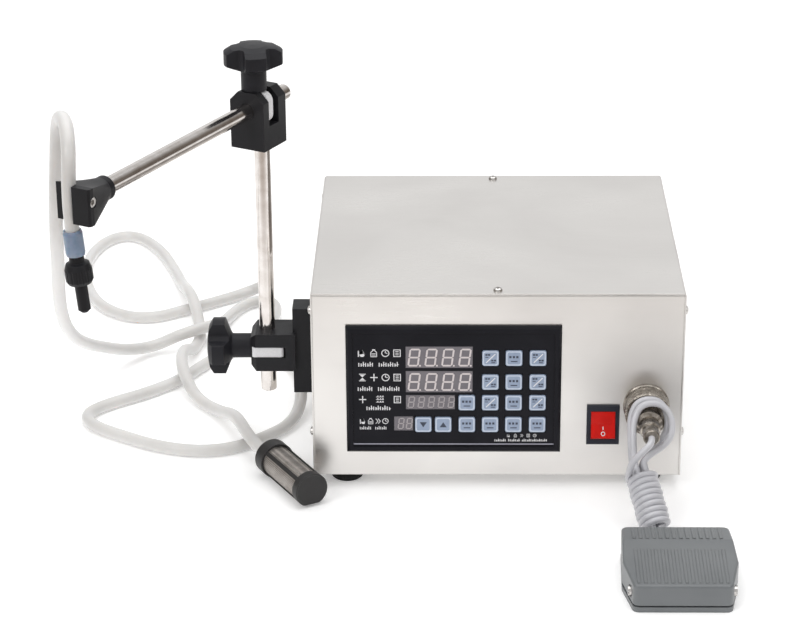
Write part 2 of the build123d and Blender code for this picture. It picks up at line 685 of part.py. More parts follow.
def clip_screw():
    """Socket screw in the jaw's side that pinches the hose."""
    head = rod(3.7, (CLIP_SCREW_AT, 13.8, CLIP_SCREW_Z), (CLIP_SCREW_AT, 10.0, CLIP_SCREW_Z))
    shank = rod(2.0, (CLIP_SCREW_AT, 10.1, CLIP_SCREW_Z), (CLIP_SCREW_AT, 2.3, CLIP_SCREW_Z))
    face = Plane(origin=(CLIP_SCREW_AT, 14, CLIP_SCREW_Z), z_dir=(0, -1, 0))
    socket = extrude(face * RegularPolygon(2.1, 6), 2.6)
    return [arm_plane() * (head + shank - socket)]


def nozzle_plane():
    """Origin on the nozzle's axis at the jaws' underside, local Z up along the nozzle."""
    lean = (-math.sin(NOZZLE_LEAN), 0, math.cos(NOZZLE_LEAN))
    return Plane(origin=(NOZZLE_X, NOZZLE_Y, JAW_LOW), x_dir=(0, 1, 0), z_dir=lean)


def nozzle_turned(outline):
    return nozzle_plane() * turned(outline, (0, 0, 0), (0, 0, 1))


def nozzle_sleeve():
    outline = [(5.2, SLEEVE_LOW), (6.3, SLEEVE_LOW), (6.8, SLEEVE_LOW + 2), (6.8, SLEEVE_HIGH - 2)]
    outline += [(6.2, SLEEVE_HIGH), (5.2, SLEEVE_HIGH)]
    return [nozzle_turned(outline)]


def nozzle_body():
    """Neck, grip nut and straight outlet tube, bored for the anti-drip valve."""
    low = TIP_LOW
    outline = [(2.6, low), (TIP_R, low), (TIP_R, low + 19)]
    outline += [(8.0, low + 19.5), (9.5, low + 22), (9.5, low + 30), (8.2, low + 34), (5.4, low + 35)]
    outline += [(5.0, SLEEVE_LOW), (2.0, SLEEVE_LOW), (2.0, low + 36.5), (3.4, low + 36.5)]
    outline += [(3.4, low + 3.0), (2.6, low + 3.0)]
    grips = []
    for i in range(16):
        angle = 2 * math.pi * i / 16
        x, y = 10.2 * math.cos(angle), 10.2 * math.sin(angle)
        grips.append(nozzle_plane() * rod(1.1, (x, y, low + 18), (x, y, low + 36)))
    return [nozzle_turned(outline) - grips]


def nozzle_poppet():
    """Valve head under the tip's seat, on a stem that the spring holds up."""
    low = TIP_LOW
    outline = [(0, low - 1.9), (2.4, low - 1.9), (3.6, low - 0.6), (3.6, low - 0.05), (1.1, low - 0.05)]
    outline += [(1.1, low + 30.5), (3.2, low + 30.5), (3.2, low + 32.5), (0, low + 32.5)]
    return [nozzle_turned(outline)]


def nozzle_spring():
    return [nozzle_plane() * coil_spring(2.3, 0.6, TIP_LOW + 3.2, TIP_LOW + 30.3, 8, (0, 0))]


# ---------------------------------------------------------------- hoses and strainer


def strainer_axis():
    return (Vector(*STRAINER_END) - Vector(*STRAINER_CAP)).normalized()


def strainer_cage():
    """Cap that takes the hose, four ribs and an end disc with a flat."""
    length = (Vector(*STRAINER_END) - Vector(*STRAINER_CAP)).length
    outline = [(0, -2), (7.0, -2), (7.0, 0), (13.2, 0), (14.0, 1.2), (14.0, 12.0), (0, 12.0)]
    cap = turned(outline, (0, 0, 0), (0, 0, 1))
    disc = [(0, length - 7), (13.4, length - 7), (13.4, length - 0.8), (12.6, length), (0, length)]
    end = turned(disc, (0, 0, 0), (0, 0, 1))
    core = rod(2.5, (0, 0, 10), (0, 0, length - 5))
    ribs = [Rot(Z=45 + 90 * i) * block(2, 13.2, -1.6, 1.6, 11, length - 6) for i in range(4)]
    body = cap + end + core + ribs
    body -= block(-20, -11.2, -20, 20, length - 7, length + 1)
    place = Plane(origin=STRAINER_CAP, x_dir=(0, 0, 1), z_dir=tuple(strainer_axis()))
    return [place * body]


def strainer_mesh():
    """Four curved mesh panels between the ribs."""
    length = (Vector(*STRAINER_END) - Vector(*STRAINER_CAP)).length
    outline = [(11.3, 12.0), (12.1, 12.0), (12.1, length - 7), (11.3, length - 7)]
    sleeve = turned(outline, (0, 0, 0), (0, 0, 1))
    gaps = [Rot(Z=45 + 90 * i) * block(2, 16, -1.6, 1.6, 10, length) for i in range(4)]
    place = Plane(origin=STRAINER_CAP, x_dir=(0, 0, 1), z_dir=tuple(strainer_axis()))
    return [place * solid for solid in (sleeve - gaps).solids()]


def hose_fittings():
    """Elbow fittings that carry the pump's ports through the side panel and turn down to the hoses."""
    fittings = []
    for y in (OUTLET_PORT_Y, INLET_PORT_Y):
        neck = rod(5.5, (-132, y, PORT_Z), (PORT_X, y, PORT_Z))
        flats = extrude(Plane(origin=(LEFT, y, PORT_Z), z_dir=(-1, 0, 0)) * RegularPolygon(9.5, 6), 4.5)
        corner = Pos(PORT_X, y, PORT_Z) * Sphere(5.5)
        drop = rod(5.5, (PORT_X, y, PORT_Z), (PORT_X, y, PORT_END))
        fittings.append(neck + flats + corner + drop)
    return fittings


# ---------------------------------------------------------------- pump and supply


def pump_head():
    """Crankcase on two feet, with the plunger's cylinder above it."""
    case = block(-132, -102, PUMP_Y - 20, PUMP_Y + 20, 40, 112)
    legs = [block(-132, -102, y - 3.5, y + 3.5, FOOT_H + SHEET, 41) for y in (PUMP_Y - 16.5, PUMP_Y + 16.5)]
    chamber = block(-124, -108, PUMP_Y - 15, PUMP_Y + 15, 39, 82)
    cylinder = rod(PLUNGER_R + RUN, (CRANK_X, PUMP_Y, 80), (CRANK_X, PUMP_Y, 106))
    shaft = rod(3.0 + RUN, (-110, PUMP_Y, CRANK_Z), (-100, PUMP_Y, CRANK_Z))
    return [case + legs - [chamber, cylinder, shaft]]


def pump_motor():
    outline = [(3.0 + RUN, 0), (21.0, 0), (21.0, 6), (20.0, 6), (20.0, 62), (10.0, 66), (0, 66)]
    outline += [(0, 40), (3.0 + RUN, 40)]
    return [turned(outline, (-102, PUMP_Y, CRANK_Z), (1, 0, 0))]


def pump_rotor():
    """Motor shaft with the eccentric cam that drives the plunger's yoke."""
    shaft = rod(3.0, (-119, PUMP_Y, CRANK_Z), (-64, PUMP_Y, CRANK_Z))
    cam = rod(CAM_R, (-119, PUMP_Y, CRANK_Z + THROW), (-113, PUMP_Y, CRANK_Z + THROW))
    return [shaft + cam]


def pump_piston():
    """Plunger with an open yoke that goes round the cam."""
    half = THROW + CAM_R + THROW + 0.4
    yoke = block(-118.5, -113.5, PUMP_Y - 12, PUMP_Y + 12, CRANK_Z - half - 3, CRANK_Z + half + 3)
    window = block(-119, -113, PUMP_Y - 8.6, PUMP_Y + 8.6, CRANK_Z - half, CRANK_Z + half)
    plunger = rod(PLUNGER_R, (CRANK_X, PUMP_Y, CRANK_Z + half + 1), (CRANK_X, PUMP_Y, 101))
    return [yoke - window + plunger]


def power_supply():
    case = block(30, 122, -30, 98, FOOT_H + SHEET, 60)
    slots = [block(40 + 12 * i, 44 + 12 * i, -10, 60, 58, 61) for i in range(6)]
    terminals = block(34, 118, -44, -30, FOOT_H + SHEET, 34)
    return [case - slots + terminals]


def power_inlet():
    """Appliance inlet with three pins in a recess, on the rear panel."""
    flange = block(55, 105, REAR - PANEL_RECESS, REAR + 2.5, 34.5, 65.5)
    flange = fillet(flange.edges().filter_by(Axis.Y), 3.0)
    body = block(56.4, 103.6, REAR - 26, REAR - PANEL_RECESS, 36.4, 63.6)
    recess = block(67.7, 92.3, REAR - 15, REAR + 3, 41.7, 58.3)
    pins = [block(x - 1, x + 1, REAR - 16, REAR - 1, 48, 52) for x in (73, 87)]
    pins.append(block(79, 81, REAR - 16, REAR, 51, 55))
    return [flange + body - recess + pins]


# ---------------------------------------------------------------- foot pedal


def pedal_outline(inset, low, high):
    """The pedal's plan shape, drawn in by an inset, between two heights."""
    half_rear = PEDAL_HALF_REAR - inset
    half_wide = PEDAL_HALF_WIDEST - inset
    half_front = PEDAL_HALF_FRONT - inset
    rear, front = PEDAL_REAR - inset, PEDAL_FRONT + inset
    outline = [(half_rear, rear), (half_wide, PEDAL_WIDEST), (half_front, front)]
    outline += [(-x, y) for x, y in reversed(outline)]
    body = prism(outline, Plane(origin=(PEDAL_X, 0, low)), high - low)
    corners = [e for e in body.edges().filter_by(Axis.Z) if abs(e.center().Y - PEDAL_WIDEST) > 1]
    return fillet(corners, 5.0)


def pedal_roof(y):
    """Height of the pedal's top surface."""
    if y > PEDAL_RIDGE:
        return 27.0 - (y - PEDAL_RIDGE) * 2.6 / (PEDAL_REAR - PEDAL_RIDGE)
    return 27.0 - (PEDAL_RIDGE - y) * 6.5 / (PEDAL_RIDGE - PEDAL_FRONT)


def pedal_side(drop, low_front, low_rear):
    """The pedal's side profile as a wide prism."""
    front, rear = PEDAL_FRONT - 2, PEDAL_REAR + 2
    outline = [(front, low_front), (front, pedal_roof(PEDAL_FRONT) - drop), (PEDAL_RIDGE, 27.0 - drop)]
    outline += [(rear, pedal_roof(PEDAL_REAR) - drop), (rear, low_rear)]
    return prism(outline, Plane(origin=(PEDAL_X - 50, 0, 0), x_dir=(0, 1, 0), z_dir=(1, 0, 0)), 100)


def pedal_base():
    """Floor plate with an upstand, pivot lugs and the lead's strain relief."""
    plate = pedal_outline(0.0, 0, 4.0)
    ring = pedal_outline(4.2, 3.5, 8.0) - pedal_outline(6.0, 3.0, 9.0)
    near, far = PEDAL_PIVOT_Y - 4, PEDAL_PIVOT_Y + 4
    lugs = [block(x - 2.5, x + 2.5, near, far, 3.5, 16) for x in (PEDAL_X - 29, PEDAL_X + 29)]
    relief = block(113.6, 121.6, PEDAL_REAR - 8, PEDAL_REAR - 1.5, 3.5, 11.0)
    ends = [(PEDAL_X + dx, PEDAL_PIVOT_Y, PEDAL_PIVOT_Z) for dx in (-40, 40)]
    bores = rod(2.0, *ends)
    return [plate + ring + lugs + relief - bores]


def pedal_cover():
    """The treadle: a ribbed shell that tips about the two front screws."""
    outer = pedal_outline(0.0, 0, 40) & pedal_side(0, 5.2, 9.9)
    roof = outer.faces().filter_by(lambda f: f.normal_at().Z > 0.9)
    outer = fillet(roof.edges().filter_by(lambda e: abs(e.center().Y - PEDAL_RIDGE) > 1), 2.0)
    inner = pedal_outline(PEDAL_WALL, -1, 40) & pedal_side(PEDAL_WALL, -1, -1)
    shell = outer - inner
    shell += block(PEDAL_X - 5, PEDAL_X + 5, -272, -268, 19.2, 25)
    pitch = PEDAL_RIB_PITCH
    start = PEDAL_X - pitch * (PEDAL_RIBS - 1) / 2
    side = Plane(origin=(0, 0, 0), x_dir=(0, 1, 0), z_dir=(1, 0, 0))
    for y0, y1 in ((-316.0, -275.0), (-261.0, -240.0)):
        z0, z1 = pedal_roof(y0), pedal_roof(y1)
        bar = prism([(y0, z0 - 0.6), (y1, z1 - 0.6), (y1, z1 + 0.7), (y0, z0 + 0.7)], side, 2.2)
        shell += [Pos(start + pitch * i - 1.1, 0, 0) * bar for i in range(PEDAL_RIBS)]
    shell -= block(112.4, 122.8, PEDAL_REAR - 4, PEDAL_REAR + 1, 0, 16.8)
    for sx in (-1, 1):
        inside, seat, outside = [(PEDAL_X + sx * d, PEDAL_PIVOT_Y, PEDAL_PIVOT_Z) for d in (30, 35.6, 45)]
        shell -= rod(2.06, inside, outside)
        shell -= rod(4.4, seat, outside)
    return [shell]


def pedal_screws():
    screws = []
    for sx in (-1, 1):
        start, seat, out = [(PEDAL_X + sx * d, PEDAL_PIVOT_Y, PEDAL_PIVOT_Z) for d in (26.5, 35.8, 38.2)]
        slot = Pos(*out) * Box(1.6, 8, 1)
        screws.append(rod(2.0, start, seat) + rod(3.6, seat, out) - slot)
    return screws


def pedal_spring():
    return [coil_spring(5.0, 1.1, 4.1, 23.6, 5, (PEDAL_X + 14, -256))]


def pedal_switch():
    """Snap switch with its lever, under the treadle's boss."""
    body = block(PEDAL_X - 4, PEDAL_X + 4, -286, -264, 4.0, 14.5)
    lever = block(PEDAL_X - 2.5, PEDAL_X + 2.5, -284, -268, 15.4, 15.8)
    post = block(PEDAL_X - 2.5, PEDAL_X + 2.5, -284, -283, 14.4, 15.6)
    return [body + lever + post]


# ---------------------------------------------------------------- write every sub-part

SUB_PARTS = {
    "base_chassis": base_chassis,
    "top_cover": top_cover,
    "housing_screws": housing_screws,
    "rubber_feet": rubber_feet,
    "panel_bezel": panel_bezel,
    "display_lenses": display_lenses,
    "control_board": control_board,
    "rocker_housing": rocker_housing,
    "rocker_lever": rocker_lever,
    "socket_shell": socket_shell,
    "plug_shell": plug_shell,
    "pedal_cord": pedal_cord,
    "cord_hank": cord_hank,
    "mast_bracket": mast_bracket,
    "lower_eye": lower_eye,
    "lower_knob": lower_knob,
    "mast": mast,
    "cross_block": cross_block,
    "upper_eye": upper_eye,
    "upper_knob": upper_knob,
    "arm_rod": arm_rod,
    "nozzle_clip": nozzle_clip,
    "clip_screw": clip_screw,
    "nozzle_sleeve": nozzle_sleeve,
    "nozzle_body": nozzle_body,
    "nozzle_poppet": nozzle_poppet,
    "nozzle_spring": nozzle_spring,
    "strainer_cage": strainer_cage,
    "strainer_mesh": strainer_mesh,
    "hose_fittings": hose_fittings,
    "pump_head": pump_head,
    "pump_motor": pump_motor,
    "pump_rotor": pump_rotor,
    "pump_piston": pump_piston,
    "power_supply": power_supply,
    "power_inlet": power_inlet,
    "pedal_base": pedal_base,
    "pedal_cover": pedal_cover,
    "pedal_screws": pedal_screws,
    "pedal_spring": pedal_spring,
    "pedal_switch": pedal_switch,
}


def write(name, solids):
    export_step(Compound(children=solids), f"parts/{name}.step")


def main():
    os.makedirs("parts", exist_ok=True)
    for name, make in SUB_PARTS.items():
        write(name, make())
    for name, (x, z) in key_places().items():
        write(name, key_cap(x, z))
    write("outlet_hose_top", [tube(OUTLET_TOP_ROUTE, HOSE_D, "outlet hose at the nozzle")])
    write("outlet_hose", [tube(OUTLET_ROUTE, HOSE_D, "outlet hose")])
    write("suction_hose", [tube(SUCTION_ROUTE, HOSE_D, "suction hose")])


main()
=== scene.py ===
"""Looks of the bench liquid filler: steel housing, clamp mast, hoses, strainer and foot pedal."""
import math

import bmesh
import bpy
from mathutils import Matrix, Vector


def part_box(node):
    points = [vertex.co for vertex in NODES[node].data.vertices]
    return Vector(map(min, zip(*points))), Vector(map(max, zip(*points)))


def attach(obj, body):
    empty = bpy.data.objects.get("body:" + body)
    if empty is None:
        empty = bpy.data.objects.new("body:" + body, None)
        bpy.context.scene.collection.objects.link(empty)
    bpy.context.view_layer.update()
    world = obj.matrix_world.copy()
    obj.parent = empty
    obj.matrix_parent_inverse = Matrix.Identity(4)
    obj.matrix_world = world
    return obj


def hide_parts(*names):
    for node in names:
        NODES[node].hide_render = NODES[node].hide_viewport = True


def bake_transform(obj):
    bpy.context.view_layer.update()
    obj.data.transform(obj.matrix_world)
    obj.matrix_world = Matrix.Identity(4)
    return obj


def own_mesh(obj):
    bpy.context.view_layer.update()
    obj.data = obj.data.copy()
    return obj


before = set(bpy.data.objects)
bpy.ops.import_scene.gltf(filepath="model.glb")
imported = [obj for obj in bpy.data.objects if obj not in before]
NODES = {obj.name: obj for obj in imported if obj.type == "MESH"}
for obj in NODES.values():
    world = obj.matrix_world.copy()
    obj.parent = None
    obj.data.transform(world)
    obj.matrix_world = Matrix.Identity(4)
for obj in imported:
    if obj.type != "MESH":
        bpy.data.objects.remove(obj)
SCENE = bpy.context.scene
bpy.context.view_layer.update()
MM = 0.001


def mm(x, y, z):
    return Vector((x, y, z)) * MM


# ---------------------------------------------------------------- node helpers


class Shader:
    """A Principled material fed by small node chains, in metres of the row frame."""

    def __init__(self, name, rough=0.5, metal=0.0, **inputs):
        self.material = bpy.data.materials.new(name)
        self.material.use_nodes = True
        self.tree = self.material.node_tree
        self.main = self.tree.nodes["Principled BSDF"]
        self.main.inputs["Roughness"].default_value = rough
        self.main.inputs["Metallic"].default_value = metal
        for key, value in inputs.items():
            self.main.inputs[key.replace("_", " ")].default_value = value
        self.place = self.node("ShaderNodeTexCoord").outputs["Object"]
        self.normal = None

    def node(self, kind, **settings):
        made = self.tree.nodes.new(kind)
        for key, value in settings.items():
            setattr(made, key, value)
        return made

    def link(self, source, target):
        self.tree.links.new(source, target)

    def stretched(self, scale):
        mapping = self.node("ShaderNodeMapping")
        mapping.inputs["Scale"].default_value = scale
        self.link(self.place, mapping.inputs["Vector"])
        return mapping.outputs["Vector"]

    def noise(self, scale, detail=3.0, stretch=None, distortion=0.0):
        noise = self.node("ShaderNodeTexNoise")
        noise.inputs["Scale"].default_value = scale
        noise.inputs["Detail"].default_value = detail
        noise.inputs["Distortion"].default_value = distortion
        self.link(self.stretched(stretch) if stretch else self.place, noise.inputs["Vector"])
        return noise.outputs["Fac"]

    def spread(self, value, low, high, start=0.0, end=1.0):
        """The value mapped from low..high to start..end, clamped."""
        mapped = self.node("ShaderNodeMapRange")
        mapped.inputs["From Min"].default_value = low
        mapped.inputs["From Max"].default_value = high
        mapped.inputs["To Min"].default_value = start
        mapped.inputs["To Max"].default_value = end
        self.link(value, mapped.inputs["Value"])
        return mapped.outputs["Result"]

    def maths(self, operation, a, b=0.0):
        made = self.node("ShaderNodeMath", operation=operation)
        for socket, value in zip(made.inputs, (a, b)):
            if isinstance(value, (int, float)):
                socket.default_value = value
            else:
                self.link(value, socket)
        return made.outputs["Value"]

    def mix(self, factor, a, b):
        """Colour a where the factor is 0 and b where it is 1."""
        made = self.node("ShaderNodeMix", data_type="RGBA")
        self.link(factor, made.inputs["Factor"])
        for index, value in ((6, a), (7, b)):
            if isinstance(value, tuple):
                made.inputs[index].default_value = (*value, 1.0)
            else:
                self.link(value, made.inputs[index])
        return made.outputs[2]

    def colour(self, value):
        if isinstance(value, tuple):
            self.main.inputs["Base Color"].default_value = (*value, 1.0)
        else:
            self.link(value, self.main.inputs["Base Color"])

    def roughness(self, value):
        self.link(value, self.main.inputs["Roughness"])

    def rounded(self, radius):
        """Shades edges as if they were rounded to this radius."""
        bevel = self.node("ShaderNodeBevel", samples=4)
        bevel.inputs["Radius"].default_value = radius
        self.normal = bevel.outputs["Normal"]
        self.link(self.normal, self.main.inputs["Normal"])

    def bump(self, height, depth, strength=1.0):
        bump = self.node("ShaderNodeBump")
        bump.inputs["Distance"].default_value = depth
        bump.inputs["Strength"].default_value = strength
        self.link(height, bump.inputs["Height"])
        if self.normal:
            self.link(self.normal, bump.inputs["Normal"])
        self.normal = bump.outputs["Normal"]
        self.link(self.normal, self.main.inputs["Normal"])

    def edges(self, radius, low=0.02, high=0.25):
        """1 along sharp edges, 0 on flat and gently curved surfaces."""
        bevel = self.node("ShaderNodeBevel", samples=4)
        bevel.inputs["Radius"].default_value = radius
        flat = self.node("ShaderNodeNewGeometry")
        dot = self.node("ShaderNodeVectorMath", operation="DOT_PRODUCT")
        self.link(bevel.outputs["Normal"], dot.inputs[0])
        self.link(flat.outputs["Normal"], dot.inputs[1])
        return self.spread(self.maths("SUBTRACT", 1.0, dot.outputs["Value"]), low, high)

    def axis(self, name):
        parts = self.node("ShaderNodeSeparateXYZ")
        self.link(self.place, parts.inputs["Vector"])
        return parts.outputs[name]


def sheet_steel():
    """Cold-rolled stainless sheet: cloudy sheen, fine grain along X, darker along edges and seams."""
    s = Shader("stainless_sheet", metal=1.0)
    clouds = s.noise(7.0, 4.0, distortion=0.4)
    grain = s.noise(60.0, 6.0, stretch=(0.6, 14.0, 14.0))
    tone = s.mix(s.spread(clouds, 0.3, 0.7), (0.80, 0.78, 0.755), (0.70, 0.68, 0.66))
    # Darker along every edge, crease and seam that the bevel mask finds.
    tone = s.mix(s.maths("MULTIPLY", s.edges(0.0012), 0.55), tone, (0.50, 0.48, 0.46))
    s.colour(tone)
    fine = s.spread(grain, 0.3, 0.7, 0.0, 0.08)
    broad = s.spread(clouds, 0.3, 0.7, 0.24, 0.34)
    s.roughness(s.maths("ADD", fine, broad))
    s.rounded(0.0009)
    s.bump(grain, 0.00003, 0.6)
    return s.material


def machined_steel(name, tone, rough):
    s = Shader(name, metal=1.0)
    marks = s.noise(500.0, 3.0, stretch=(1.0, 1.0, 5.0))
    s.colour(s.mix(s.spread(marks, 0.35, 0.7), tone, tuple(0.8 * c for c in tone)))
    s.roughness(s.spread(marks, 0.3, 0.7, rough, rough + 0.12))
    s.rounded(0.0003)
    s.bump(marks, 0.00001)
    return s.material


def polished_rod():
    s = Shader("polished_rod", metal=1.0)
    long_marks = s.noise(120.0, 4.0)
    rings = s.noise(900.0, 2.0)
    s.colour(s.mix(s.spread(long_marks, 0.35, 0.75), (0.76, 0.725, 0.70), (0.62, 0.575, 0.54)))
    s.roughness(s.spread(rings, 0.3, 0.7, 0.10, 0.19))
    s.bump(rings, 0.000006)
    return s.material


def knurled_nickel():
    """Dull nickel plate, with a diamond knurl on the coupling nut."""
    s = Shader("nickel_plate", metal=1.0)
    low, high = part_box("plug_shell")
    dx = s.maths("SUBTRACT", s.axis("X"), (low.x + high.x) / 2)
    dz = s.maths("SUBTRACT", s.axis("Z"), (low.z + high.z) / 2)
    turn = s.maths("MULTIPLY", s.maths("ARCTAN2", dz, dx), 30.0)
    along = s.maths("MULTIPLY", s.axis("Y"), 2500.0)
    one = s.maths("SINE", s.maths("ADD", turn, along))
    two = s.maths("SINE", s.maths("SUBTRACT", turn, along))
    diamonds = s.maths("MAXIMUM", one, two)
    on_nut = s.maths("MULTIPLY", s.spread(s.axis("Y"), high.y - 0.0135, high.y - 0.013),
                     s.spread(s.axis("Y"), high.y - 0.0005, high.y - 0.001))
    dirt = s.noise(220.0, 5.0)
    s.colour(s.mix(s.spread(dirt, 0.35, 0.7), (0.44, 0.405, 0.36), (0.18, 0.155, 0.13)))
    s.roughness(s.spread(dirt, 0.3, 0.7, 0.18, 0.38))
    s.rounded(0.0004)
    s.bump(s.maths("MULTIPLY", diamonds, on_nut), 0.00025, 0.9)
    return s.material


def moulded(name, tone, rough=0.42, grain=700.0, depth=0.00003, highlight_wear_tone=(0.09, 0.09, 0.093)):
    """Moulded plastic: fine spark-eroded grain, faint flow marks and paler edges, partly rubbed wear and
    partly painted highlights.
    """
    s = Shader(name, Specular_IOR_Level=0.2)
    fine = s.noise(grain, 3.0)
    flow = s.noise(28.0, 3.0, distortion=0.8)
    # Paler edges: rubbed wear mixed with painted highlights along every edge.
    highlight_wear_mask = s.maths("MULTIPLY", s.edges(0.0008), s.spread(s.noise(140.0), 0.35, 0.7, 0.05, 0.55))
    base = s.mix(s.spread(flow, 0.3, 0.75), tone, tuple(1.35 * c for c in tone))
    s.colour(s.mix(highlight_wear_mask, base, highlight_wear_tone))
    s.roughness(s.spread(flow, 0.3, 0.7, rough - 0.06, rough + 0.08))
    s.rounded(0.0006)
    s.bump(fine, depth)
    return s.material


def panel_film():
    s = Shader("panel_film", Specular_IOR_Level=0.12)
    fine = s.noise(1100.0, 2.0)
    smears = s.noise(18.0, 4.0, distortion=1.0)
    s.colour(s.mix(s.spread(smears, 0.3, 0.75), (0.006, 0.006, 0.009), (0.012, 0.012, 0.016)))
    s.roughness(s.spread(smears, 0.3, 0.7, 0.30, 0.42))
    s.rounded(0.0007)
    s.bump(fine, 0.00001)
    return s.material


def key_film():
    s = Shader("key_film")
    mottle = s.noise(260.0, 3.0)
    s.colour(s.mix(s.spread(mottle, 0.3, 0.75), (0.26, 0.32, 0.44), (0.31, 0.38, 0.51)))
    s.roughness(s.spread(mottle, 0.3, 0.7, 0.34, 0.46))
    s.rounded(0.0004)
    s.bump(s.noise(1500.0), 0.00001)
    return s.material


def printed(name, tone, rough=0.45):
    s = Shader(name)
    ink = s.noise(1600.0, 2.0)
    s.colour(s.mix(s.spread(ink, 0.3, 0.8), tone, tuple(0.86 * c for c in tone)))
    s.roughness(s.spread(ink, 0.3, 0.7, rough - 0.05, rough + 0.05))
    return s.material


def smoked_lens():
    s = Shader("smoked_lens", Coat_Weight=0.35, Coat_Roughness=0.04)
    haze = s.noise(60.0, 4.0)
    s.colour(s.mix(s.spread(haze, 0.3, 0.75), (0.122, 0.110, 0.126), (0.155, 0.140, 0.157)))
    s.roughness(s.spread(haze, 0.3, 0.7, 0.20, 0.28))
    return s.material


def rocker_red():
    s = Shader("rocker_red", Subsurface_Weight=0.1, Subsurface_Scale=0.002,
               Coat_Weight=0.12, Coat_Roughness=0.1, Specular_IOR_Level=0.15)
    s.main.inputs["Subsurface Radius"].default_value = (1.0, 0.15, 0.08)
    flow = s.noise(90.0)
    s.colour(s.mix(s.spread(flow, 0.3, 0.7), (0.66, 0.007, 0.002), (0.54, 0.005, 0.002)))
    s.roughness(s.spread(flow, 0.3, 0.7, 0.24, 0.34))
    s.rounded(0.0005)
    return s.material


def silicone_hose():
    """Milky hose: a painted sheen where the wall is seen edge on and painted shade of the bore in the
    middle, with a faint waviness and dust.
    """
    s = Shader("silicone_hose", Subsurface_Weight=0.35, Subsurface_Scale=0.004, Coat_Weight=0.2)
    s.main.inputs["Coat Roughness"].default_value = 0.2
    s.main.inputs["Subsurface Radius"].default_value = (1.0, 0.9, 0.8)
    # The view-angle mix paints a sheen on the rim and painted shade of the bore in the middle of the
    # hose.
    facing = s.node("ShaderNodeLayerWeight")
    facing.inputs["Blend"].default_value = 0.35
    cloud = s.noise(45.0, 4.0)
    bore_shade_and_dust = s.mix(s.spread(cloud, 0.3, 0.7), (0.62, 0.61, 0.595), (0.69, 0.68, 0.665))
    s.colour(s.mix(s.spread(facing.outputs["Facing"], 0.15, 0.85), bore_shade_and_dust, (0.76, 0.755, 0.75)))
    s.roughness(s.spread(s.noise(400.0), 0.3, 0.7, 0.30, 0.42))
    s.bump(s.noise(90.0, 2.0), 0.0002, 0.35)
    return s.material


def blue_sleeve():
    s = Shader("blue_sleeve", Subsurface_Weight=0.4, Subsurface_Scale=0.003, Coat_Weight=0.3)
    flow = s.noise(160.0, 3.0)
    s.colour(s.mix(s.spread(flow, 0.3, 0.7), (0.155, 0.225, 0.33), (0.235, 0.30, 0.41)))
    s.roughness(s.spread(flow, 0.3, 0.7, 0.28, 0.40))
    s.bump(s.noise(500.0), 0.00004)
    return s.material


def gauze():
    """Woven stainless gauze: two crossing sets of wires, with painted shade in the gaps between them."""
    s = Shader("strainer_gauze", metal=0.85)
    low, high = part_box("strainer_mesh")
    axis = Vector((high.x - low.x, low.y - high.y, 0)).normalized()
    along = s.node("ShaderNodeVectorMath", operation="DOT_PRODUCT")
    s.link(s.place, along.inputs[0])
    along.inputs[1].default_value = axis
    warp = s.maths("SINE", s.maths("MULTIPLY", along.outputs["Value"], 5200.0))
    weft = s.maths("SINE", s.maths("MULTIPLY", s.axis("Z"), 5200.0))
    wires = s.spread(s.maths("MAXIMUM", warp, weft), -0.3, 0.9)
    grime = s.noise(120.0, 4.0)
    wire = s.mix(s.spread(grime, 0.3, 0.75), (0.62, 0.58, 0.54), (0.40, 0.36, 0.33))
    # The gaps between the wires are painted near-black: painted shade where the open weave would show
    # the inside.
    s.colour(s.mix(wires, (0.10, 0.09, 0.085), wire))
    s.roughness(s.spread(grime, 0.3, 0.7, 0.30, 0.5))
    s.bump(wires, 0.0002, 0.8)
    return s.material


def grey_cord():
    s = Shader("grey_cord", Coat_Weight=0.45, Coat_Roughness=0.22)
    flow = s.noise(70.0, 4.0)
    s.colour(s.mix(s.spread(flow, 0.3, 0.75), (0.47, 0.47, 0.50), (0.56, 0.56, 0.59)))
    s.roughness(s.spread(flow, 0.3, 0.7, 0.36, 0.48))
    s.bump(s.noise(800.0), 0.00003)
    return s.material


def pedal_paint():
    """Grey enamel with a slight orange peel, paler along the treadle's edges, partly rubbed wear and
    partly painted highlights.
    """
    s = Shader("pedal_paint", Coat_Weight=0.15, Coat_Roughness=0.25)
    peel = s.noise(420.0, 2.0)
    clouds = s.noise(22.0, 3.0)
    # Paler edges: rubbed wear mixed with painted highlights along the edges.
    highlight_wear_mask = s.maths("MULTIPLY", s.edges(0.0011), s.spread(s.noise(90.0), 0.35, 0.7, 0.1, 0.75))
    base = s.mix(s.spread(clouds, 0.3, 0.7), (0.135, 0.145, 0.152), (0.165, 0.175, 0.182))
    s.colour(s.mix(highlight_wear_mask, base, (0.27, 0.28, 0.285)))
    s.roughness(s.spread(clouds, 0.3, 0.7, 0.34, 0.46))
    s.rounded(0.0012)
    s.bump(peel, 0.00006, 0.6)
    return s.material


def circuit_board():
    s = Shader("circuit_board", Coat_Weight=0.4)
    cells = s.node("ShaderNodeTexVoronoi", distance="CHEBYCHEV")
    cells.inputs["Scale"].default_value = 180.0
    s.link(s.place, cells.inputs["Vector"])
    tracks = s.spread(cells.outputs["Distance"], 0.35, 0.45)
    s.colour(s.mix(tracks, (0.015, 0.12, 0.05), (0.04, 0.24, 0.10)))
    s.bump(tracks, 0.00004)
    return s.material


STEEL = machined_steel("machined_steel", (0.66, 0.64, 0.62), 0.22)
SHEET = sheet_steel()
ROD = polished_rod()
NICKEL = knurled_nickel()
NYLON = moulded("black_nylon", (0.012, 0.012, 0.014))
KNOB = moulded("knob_plastic", (0.013, 0.013, 0.016), rough=0.46, grain=520.0, depth=0.00005)
SWITCH = moulded("switch_plastic", (0.018, 0.020, 0.029), rough=0.34, grain=1200.0, depth=0.00001)
FEET = moulded("foot_rubber", (0.007, 0.007, 0.007), rough=0.62, grain=400.0)
